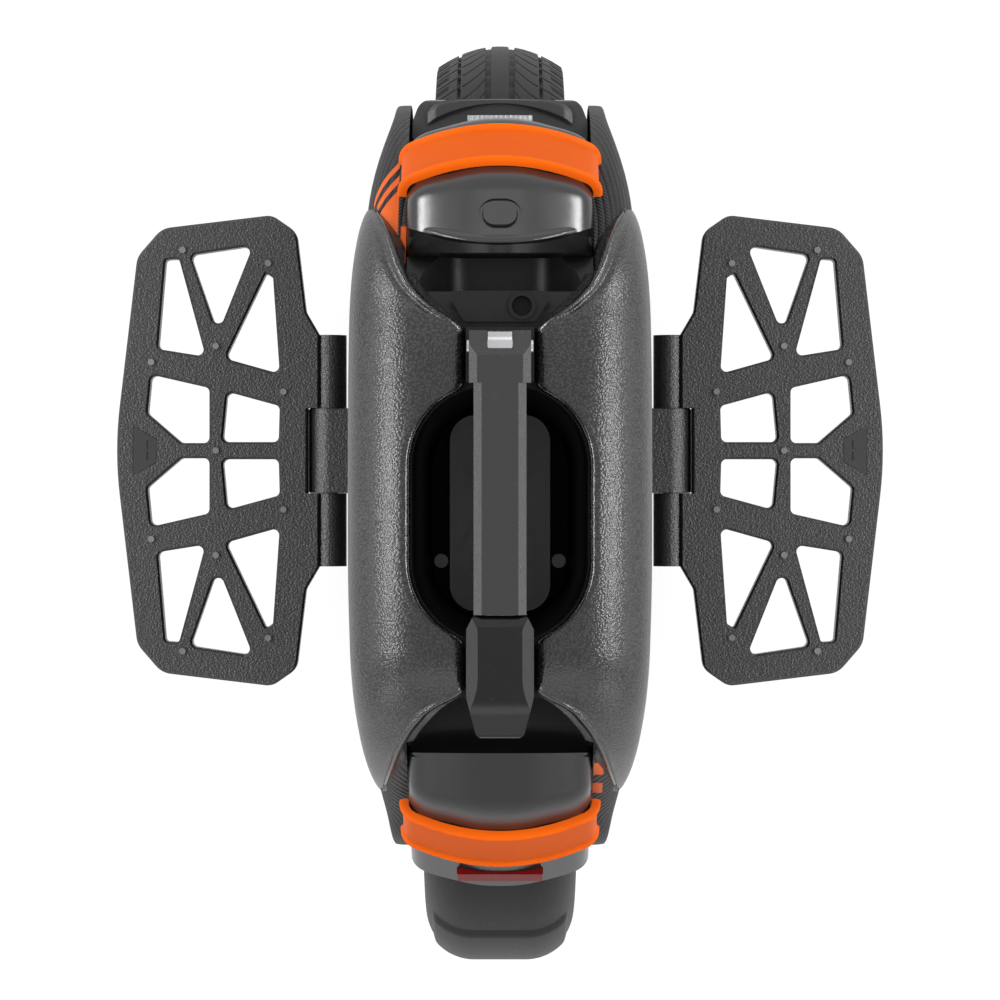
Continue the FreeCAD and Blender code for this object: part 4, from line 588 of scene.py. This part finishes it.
SHELL_Y = (-193, -177, -150, -110, -60, 0, 70, 110, 136)
SHELL_TOP = (322, 375, 440, 486, 494, 494, 484, 450, 415)
SHELL_HALF = (49.5, 53, 57, 60, 61, 61, 61, 60, 55)
SHELL_ROUND = 14
SHOULDER_IN = 4
SHOULDER_DROP = 4.5
CROWN_IN = 12
WIDE_WINDOW = np.linspace(-16, 16, 33)
NEAR_WINDOW = np.linspace(-2, 2, 5)
PAD_ROWS = np.concatenate([np.linspace(-161, -104, 48), np.linspace(-103, -70, 46), np.linspace(-69, 4, 40),
                           np.linspace(5, 38, 46), np.linspace(39, 107, 62)])
PAD_EDGE_Y = (-161, -154, -148, -139, -130, -120, -114, -112, 50, 53, 58, 63, 70, 78, 85, 92, 99, 107)
PAD_EDGE_X = (54, 51, 48, 44.5, 39.5, 31, 20, 15.6, 15.6, 19, 27, 33, 39, 43, 45.4, 47.8, 51.4, 57)
PAD_SEAT_Y = (-165, -142, -128, -114, 58, 75, 90, 107)
PAD_SEAT_Z = (400, 456, 477, 498.5, 498.5, 489, 470, 445)
PAD_FOOT_Y = (-161, -146, -120, -95, 58, 75, 92, 107)
PAD_FOOT_Z = (420, 345, 312, 296, 296, 312, 345, 430)
PAD_MIDDLE = -27
PAD_REACH = 134.3
PAD_RISE = 22.0
PAD_SIDE = 7.0
PAD_RIM = 4.5
PAD_RIM_LEAST = 0.15
PAD_FOOT_ROLL = 0.8
PAD_ROUND = 14
PAD_ROUND_SWELL = 18
WELL_MIDDLE = -32
WELL_STRAIGHT = 21
WELL_ROUND = 36.0
WELL_INSET = 3.3
FREE_FRONT = 52
FREE_REAR = -113
FREE_FADE = 8
WALL_LEAN = 3.5
TIP_MIDDLE = -30
TIP_START = 105
TIP_WALL = 42.8
LIP_BEAD = (2.0, 2.2, 1.9)
LIP_GROOVE = (1.3, 6.2, 1.6)
PAD_GAP = 0.4
RIM_COLUMN = 10
RIM_COLUMNS = 4


def pad_grid():
    """Right pad as a closed section carried from its rear tip to its front tip: up the inner wall, round
    the rim, across the top, round the shoulder, down the side, round the foot and back along the shell.
    Each end closes on the middle of its last section."""
    y = PAD_ROWS
    wide = y[:, None] + WIDE_WINDOW[None, :]
    near = y[:, None] + NEAR_WINDOW[None, :]
    share = np.clip(1 - np.abs((y - PAD_MIDDLE) / PAD_REACH) ** 5, 0, 1) ** 0.6
    shell_top = np.interp(wide, SHELL_Y, SHELL_TOP).mean(1)
    shell_half = np.interp(wide, SHELL_Y, SHELL_HALF).mean(1)
    past_straight = np.clip(np.abs(near - WELL_MIDDLE) - WELL_STRAIGHT, 0, WELL_ROUND)
    well = WELL_INSET + np.sqrt(np.clip(WELL_ROUND ** 2 - past_straight ** 2, 0, None))
    edge = np.maximum(np.interp(near, PAD_EDGE_Y, PAD_EDGE_X), well).mean(1)
    seat = np.interp(y, PAD_SEAT_Y, PAD_SEAT_Z)
    foot = np.interp(wide, PAD_FOOT_Y, PAD_FOOT_Z).mean(1)
    top = shell_top + PAD_RISE * share
    half = shell_half + PAD_SIDE * share
    turn = PAD_ROUND + PAD_ROUND_SWELL * share
    rim = PAD_RIM * np.clip(share, PAD_RIM_LEAST, 1)
    free = np.clip(np.maximum(y - FREE_FRONT, FREE_REAR - y) / FREE_FADE, 0, 1)
    wall_least = np.where(np.abs(y - TIP_MIDDLE) > TIP_START, TIP_WALL, 0)
    wall_foot = np.minimum(edge, np.maximum(edge - WALL_LEAN * free, wall_least))
    flat_end = np.maximum(half - turn, edge + rim)

    def ridge(inside, size, middle, width):
        """Round ridge of a height along the edge, at a distance inside it."""
        return size * np.exp(-((inside - middle) / width) ** 2)

    def lip(x):
        """Rise of the free edges over X: a round bead along the rim, then a shallow groove."""
        inside = x - edge[:, None]
        return (free * share)[:, None] * (ridge(inside, *LIP_BEAD) - ridge(inside, *LIP_GROOVE))

    def height(x):
        """Top of the pad over X: level, then the shoulder's arc."""
        over = np.clip(x - (half - turn)[:, None], 0, turn[:, None] * 0.999)
        return (top - turn)[:, None] + np.sqrt(turn[:, None] ** 2 - over ** 2) + lip(x)

    up = np.linspace(0, 1, 7)[None, :-1]
    quarter = np.linspace(0, np.pi / 2, 9)[None, :]
    over = np.linspace(0, 1, 16)[None, 1:]
    down = np.linspace(0, 1, 14)[None, 1:]
    back = np.linspace(0, 1, 8)[None, :]
    rim_x = edge[:, None] + rim[:, None] * (1 - np.cos(quarter))
    rim_z = height(rim_x) - rim[:, None] * (1 - np.sin(quarter))
    wall_x = wall_foot[:, None] + (edge - wall_foot)[:, None] * up
    wall_z = seat[:, None] + (rim_z[:, :1] - seat[:, None]) * up
    flat_x = (edge + rim)[:, None] + (flat_end - edge - rim)[:, None] * over
    first = np.arccos(np.clip((flat_end - half + turn) / turn, -1, 1))
    shoulder = first[:, None] * (1 - np.linspace(0, 1, 34) ** 1.25)[None, 1:]
    shoulder_x = (half - turn)[:, None] + turn[:, None] * np.cos(shoulder)
    shoulder_z = (top - turn)[:, None] + turn[:, None] * np.sin(shoulder) + lip(shoulder_x)
    roll = PAD_SIDE * share * PAD_FOOT_ROLL
    side_x = half[:, None] + 0 * down
    side_z = (top - turn)[:, None] + (foot + roll - top + turn)[:, None] * down
    foot_x = half[:, None] - roll[:, None] * (1 - np.cos(quarter[:, 1:]))
    foot_z = (foot + roll)[:, None] - roll[:, None] * np.sin(quarter[:, 1:])
    back_x = (shell_half + PAD_GAP)[:, None] + 0 * back
    back_z = foot[:, None] + (shell_top - SHELL_ROUND - foot)[:, None] * back
    under_x = np.stack([shell_half - SHOULDER_IN, np.maximum(edge + 1, shell_half - CROWN_IN)], -1)
    under_z = np.stack([shell_top - SHOULDER_DROP, np.minimum(shell_top + PAD_GAP, top - 1)], -1)
    x = np.concatenate([wall_x, rim_x, flat_x, shoulder_x, side_x, foot_x, back_x, under_x], 1)
    z = np.concatenate([wall_z, rim_z, height(flat_x), shoulder_z, side_z, foot_z, back_z, under_z], 1)
    skin = np.stack([x, np.broadcast_to(y[:, None], x.shape), z], -1)
    ends = np.broadcast_to(skin[[0, -1]].mean(1, keepdims=True), (2,) + skin.shape[1:])
    return np.concatenate([ends[:1], skin, ends[1:]]) / MM_PER_M


right_pad = pad_grid()
from_rim = np.abs(np.arange(right_pad.shape[1]) - RIM_COLUMN)
rim_mask = np.clip(1 - from_rim / RIM_COLUMNS, 0, 1) ** 0.5
for side, way in (("_right", 1), ("_left", -1)):
    pad = grid_piece("leg_pad_foam" + side, right_pad * (way, 1, 1), "chassis", pad_foam,
                     close_columns=True, flip=way < 0)
    point_values(pad, "rim", np.tile(rim_mask, len(right_pad)))
    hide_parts("leg_pad" + side)


# Front and rear covers: smooth matte plastic shells over the nose and the tail, held between the side
# shells under the straps, with the power button on the hood, the fluted headlight under the front strap
# and the red tail light low at the rear. A bowed crease runs across the hood.
HOOD_START = (84.0, 492.0)
HOOD_WAY = (0.8838, -0.4679)
HOOD_ROUND = 82.0
CREASE_Y = 88.5
CREASE_BOW = 0.0046
CREST_HALF = 37.0
CREST_H = 1.7
CREST_SINK = 0.2
CREST_FADE = 8
CREST_FRONT = 5.4
CREST_CLIMB = 5.0
CREST_REAR = 1.4
CREST_FALL = 1.6
LIP_LENGTH = 0.02
LIP_FALL = -0.03
FLUTE_PITCH = 0.0022
FLUTE_HEIGHT = 0.0005
GLASS_TINT = (0.9, 0.92, 0.95)
dress(grain_finish("cover_plastic", (0.011, 0.011, 0.0114), 0.2, grain=2600, depth=0.12, swing=0.08,
                   gloss=0.34), "rear_cover")
hood_plastic = grain_finish("hood_plastic", (0.009, 0.009, 0.0094), 0.2, grain=2600, depth=0.1, swing=0.08,
                            gloss=0.6)
# the hood's rear lip: behind the crease the surface turns down to the rear
tree = hood_plastic.node_tree
spot = object_axes(tree)
bow = maths(tree, "MULTIPLY", spot["X"], spot["X"])
crease = maths(tree, "MULTIPLY_ADD", bow, CREASE_BOW * MM_PER_M, CREASE_Y / MM_PER_M)
fall = ramp(tree, maths(tree, "SUBTRACT", crease, spot["Y"]), end=LIP_LENGTH, high=LIP_FALL)
lip = place(tree, "Bump", {"Strength": 1.0, "Distance": 1.0, "Height": fall,
                           "Normal": tree.nodes["Group"].outputs["Normal"]})
tree.links.new(lip.outputs[0], tree.nodes["Principled BSDF"].inputs["Normal"])
dress(hood_plastic, "front_cover")


def eased(step):
    """Ramp from zero to one with level ends."""
    return step ** 2 * (3 - 2 * step)


def crest_grid():
    """Crest along the hood's crease: the arched hood surface, raised along its normal by a ramp that climbs
    from the front, then falls steeply behind the crease, and fades out to both sides."""
    x = np.linspace(-CREST_HALF, CREST_HALF, 75)[:, None]
    step = np.concatenate([np.linspace(CREST_FRONT, 0.6, 13), np.linspace(0.4, -1.6, 11)])[None, :]
    sink = x ** 2 / (2 * HOOD_ROUND)
    start = (CREASE_Y + CREASE_BOW * x ** 2 - HOOD_START[0] - HOOD_WAY[1] * sink) / HOOD_WAY[0]
    climb = np.clip(np.minimum((CREST_FRONT - step) / CREST_CLIMB, (step + CREST_REAR) / CREST_FALL), 0, 1)
    fade = np.clip((CREST_HALF - np.abs(x)) / CREST_FADE, 0, 1)
    rise = CREST_H * eased(climb) * fade - CREST_SINK - sink
    y = HOOD_START[0] + HOOD_WAY[0] * (start + step) - HOOD_WAY[1] * rise
    z = HOOD_START[1] + HOOD_WAY[1] * (start + step) + HOOD_WAY[0] * rise
    return np.stack([x + 0 * step, y, z], -1) / MM_PER_M


grid_piece("hood_crest", crest_grid(), "chassis", hood_plastic, flip=True)
dress(grain_finish("button_plastic", (0.016, 0.016, 0.017), 0.36, grain=2200, depth=0.1),
      "power_button", "handle_release")
dress(grain_finish("lamp_silver", (0.72, 0.72, 0.73), 0.22, grain=900, depth=0.05, metal=1.0),
      "headlight_housing")
dress(grain_finish("red_lens", (0.13, 0.004, 0.004), 0.3, grain=500, depth=0.05, gloss=0.1), "tail_light")
clear, tree = new_material("fluted_lens")
flute = maths(tree, "SINE", maths(tree, "MULTIPLY", object_axes(tree)["X"], 2 * math.pi / FLUTE_PITCH))
bump = place(tree, "Bump", {"Strength": 0.8, "Distance": FLUTE_HEIGHT, "Height": flute})
# the glass tint is darker in the hollows of the flutes and paler on their ridges: painted shade in the
# hollows
principled(tree, {"Base Color": scaled(tree, GLASS_TINT, ramp(tree, flute, -1.0, 1.0, 0.6, 0.95)),
                  "Roughness": 0.12, "IOR": 1.49, "Transmission Weight": 0.6, "Normal": bump.outputs[0]})
dress(clear, "headlight_lens")


# Straps: soft orange bands stretched over the covers, with a rolled bead along both edges and a flat
# middle, coloured a shade deeper than the beads. They are hooked to the shells on each side.
STRAPS = (("front_strap", (118.0, 474.0), (150.0, 425.0), 0.5),
          ("rear_strap", (-168.0, 444.0), (-209.0, 366.0), 0.44))
STRAP_ORANGE = (0.64, 0.092, 0.002)
STRAP_HALF = 42.3
STRAP_TURN = 6.0
STRAP_LEAN = 0.44
STRAP_DROP = 16.0
STRAP_LIFT = 0.3
STRAP_T = 2.8
BACK_T = 0.02
BEAD_H = 1.5
BEAD_AT = 15.2
BEAD_WIDTH = 1.5
RIM_AT = 15.4
RIM_WIDTH = 1.6
PALE_WIDTH = 2.0
CROWN_R = 82.0
STRAP_FACE = np.linspace(-17.0, 17.0, 69)
STRAP_BACK = np.concatenate([[17.0, 16.2], np.linspace(15.5, -15.5, 5), [-16.2, -17.0]])


def strap_grid(start, end, share):
    """Strap as a closed profile, flat with two round beads, carried over the cover's arched section: up
    one leg, round the corner, over the crown, where the drop is the square of X, and down the other leg."""
    corner_x = STRAP_HALF - STRAP_TURN * (1 - math.sin(STRAP_LEAN))
    corner_z = STRAP_LIFT - corner_x ** 2 / (2 * CROWN_R) - STRAP_TURN * math.cos(STRAP_LEAN)
    leg = np.linspace(-STRAP_DROP, corner_z, 4)
    bend = np.linspace(0, np.pi / 2 - STRAP_LEAN, 12)[1:]
    crown = np.linspace(corner_x, 0, 26)[1:]
    slope = np.hypot(crown, CROWN_R)
    x = np.concatenate([np.full(4, STRAP_HALF), STRAP_HALF - STRAP_TURN + STRAP_TURN * np.cos(bend), crown])
    height = np.concatenate([leg, corner_z + STRAP_TURN * np.sin(bend),
                             STRAP_LIFT - crown ** 2 / (2 * CROWN_R)])
    out_x = np.concatenate([np.ones(4), np.cos(bend), crown / slope])
    out_z = np.concatenate([np.zeros(4), np.sin(bend), CROWN_R / slope])
    x, out_x = (np.concatenate([half, -half[-2::-1]])[:, None] for half in (x, out_x))
    height, out_z = (np.concatenate([half, half[-2::-1]])[:, None] for half in (height, out_z))
    bead = np.exp(-((np.abs(STRAP_FACE) - BEAD_AT) / BEAD_WIDTH) ** 2)
    rim = np.sqrt(np.clip(1 - (np.clip(np.abs(STRAP_FACE) - RIM_AT, 0, None) / RIM_WIDTH) ** 2, 0, 1))
    face_t = (STRAP_T + BEAD_H * bead) * rim * 0.98 + 0.05
    thick = np.concatenate([face_t, np.full(len(STRAP_BACK), BACK_T)])
    width = np.concatenate([STRAP_FACE, STRAP_BACK])
    lift = height + out_z * thick
    way = np.subtract(end, start)
    turn = math.atan2(-way[1], abs(way[0])) * (1 if way[0] > 0 else -1)
    middle = np.add(start, way * share)
    y = middle[0] + width * math.cos(turn) + lift * math.sin(turn)
    z = middle[1] - width * math.sin(turn) + lift * math.cos(turn)
    return np.stack([x + out_x * thick, y, z], -1) / MM_PER_M


strap_silicone = grain_finish("orange_silicone", STRAP_ORANGE, 0.5, grain=1500, depth=0.1, swing=0.06,
                              gloss=0.07)
tree = strap_silicone.node_tree
# the beads and rims are coloured about a quarter lighter than the flat middle, by each point's bead value
lighten = ramp(tree, place(tree, "Attribute", attribute_name="bead").outputs["Fac"], low=0.82, high=1.05)
tree.links.new(scaled(tree, STRAP_ORANGE, lighten), tree.nodes["Group"].inputs["Tone"])
face_mask = np.exp(-((np.abs(STRAP_FACE) - RIM_AT) / PALE_WIDTH) ** 2)
bead_mask = np.concatenate([face_mask, np.zeros(len(STRAP_BACK))])
for name, start, end, share in STRAPS:
    points = strap_grid(start, end, share)
    band = grid_piece(name + "_band", points, "chassis", strap_silicone, close_columns=True)
    point_values(band, "bead", np.tile(bead_mask, len(points)))
    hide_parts(name)


# Nose lip and mudguard: matte plastic mouldings, screwed to the arch in front of and behind the wheel. A
# bowed brow is raised on the lip, and a panel on the lower half of the guard.
BROW_HALF = 34.0
BROW_FRONT = 162.2
BROW_CORNER = 6.0
BROW_REAR = 159.6
BROW_BOW = 10.0
BROW_Z = 387.3
BROW_H = 1.7
BROW_FADE = 4
GUARD_TURN = 24.0
GUARD_FLAT = 13.0
GUARD_OUT = 258.0
PANEL_LEAN = 64
PANEL_SIDE = 62
PANEL_SIDE_FADE = 16
PANEL_START = 65.4
PANEL_CLIMB = 2.4
PANEL_TIP = 99
PANEL_TIP_FADE = 4
PANEL_H = 1.9
PANEL_SINK = 0.25
PANEL_ROWS = np.concatenate([np.linspace(65.2, 68.2, 13), np.linspace(69, 93, 25),
                             np.linspace(93.5, PANEL_TIP, 12)])
CORNER_STEPS = 22
FLAT_STEPS = 9
lip_plastic = grain_finish("lip_plastic", (0.024, 0.024, 0.025), 0.36, grain=1500, depth=0.2, gloss=0.3)
dress(lip_plastic, "front_fender")
guard_plastic = grain_finish("guard_plastic", (0.009, 0.009, 0.0094), 0.46, grain=1500, depth=0.2, gloss=0.1)
dress(guard_plastic, "mudguard")


def brow_grid():
    """Raised brow on the nose lip: a band with a straight front and a bowed rear edge that nearly meets the
    front in the middle; its height rises at both edges and is level between."""
    x = np.linspace(-BROW_HALF, BROW_HALF, 81)[:, None]
    run = np.linspace(0, 1, 25)[None, :]
    front = BROW_FRONT - BROW_CORNER * np.clip(np.abs(x) / BROW_HALF, 0, 1) ** 8
    rear = BROW_REAR - BROW_BOW * (x / BROW_HALF) ** 2
    edge = np.clip(np.minimum(run / 0.25, (1 - run) / 0.18), 0, 1)
    rise = BROW_H * eased(edge) * np.clip((BROW_HALF - np.abs(x)) / BROW_FADE, 0, 1)
    return np.stack([x + 0 * run, front + (rear - front) * run, BROW_Z + rise], -1) / MM_PER_M


def panel_grid():
    """Raised panel on the mudguard's lower half: the guard's section, flat with round corners, turned about
    the axle, and lifted along its normal by a step that fades at the sides and at the tip."""
    lean = np.radians(np.concatenate([np.linspace(-PANEL_LEAN, 0, CORNER_STEPS), np.zeros(FLAT_STEPS),
                                      np.linspace(0, PANEL_LEAN, CORNER_STEPS)]))
    flat = np.linspace(-GUARD_FLAT, GUARD_FLAT, FLAT_STEPS + 2)[1:-1]
    side = np.full(CORNER_STEPS, GUARD_FLAT)
    flat = np.concatenate([-side, flat, side])
    step = np.clip((PANEL_ROWS - PANEL_START) / PANEL_CLIMB, 0, 1)
    step = step * np.clip((PANEL_TIP - PANEL_ROWS) / PANEL_TIP_FADE, 0, 1)
    fade = np.clip((math.radians(PANEL_SIDE) - np.abs(lean)) / math.radians(PANEL_SIDE_FADE), 0, 1)
    rise = PANEL_H * eased(step)[:, None] * eased(fade) - PANEL_SINK
    x = flat + (GUARD_TURN + rise) * np.sin(lean)
    radius = GUARD_OUT - GUARD_TURN + (GUARD_TURN + rise) * np.cos(lean)
    around = np.radians(PANEL_ROWS)[:, None]
    return np.stack([x, -radius * np.sin(around), TYRE_R + radius * np.cos(around)], -1) / MM_PER_M


grid_piece("nose_brow", brow_grid(), "chassis", lip_plastic)
grid_piece("mudguard_panel", panel_grid(), "chassis", guard_plastic)


# Carrying handle: satin painted bar and head over two telescopic tubes that slide in each other. The bar
# turns on a pin through a polished hinge lug at its front end.
dress(grain_finish("handle_paint", (0.007, 0.007, 0.0073), 0.24, grain=2200, depth=0.1, swing=0.08, scuff=0.2,
                   gloss=0.65), "handle_bar")
dress(grain_finish("head_paint", (0.003, 0.003, 0.0032), 0.16, grain=2200, depth=0.08, scuff=0.2, gloss=0.3),
      "handle_head")
dress(grain_finish("polished_steel", (0.5, 0.5, 0.51), 0.24, grain=1500, depth=0.03, metal=1.0),
      "handle_hinge", "handle_pin")
dress(grain_finish("tube_alloy", (0.28, 0.28, 0.29), 0.32, grain=2200, depth=0.08, metal=1.0),
      "middle_tube", "inner_tube")
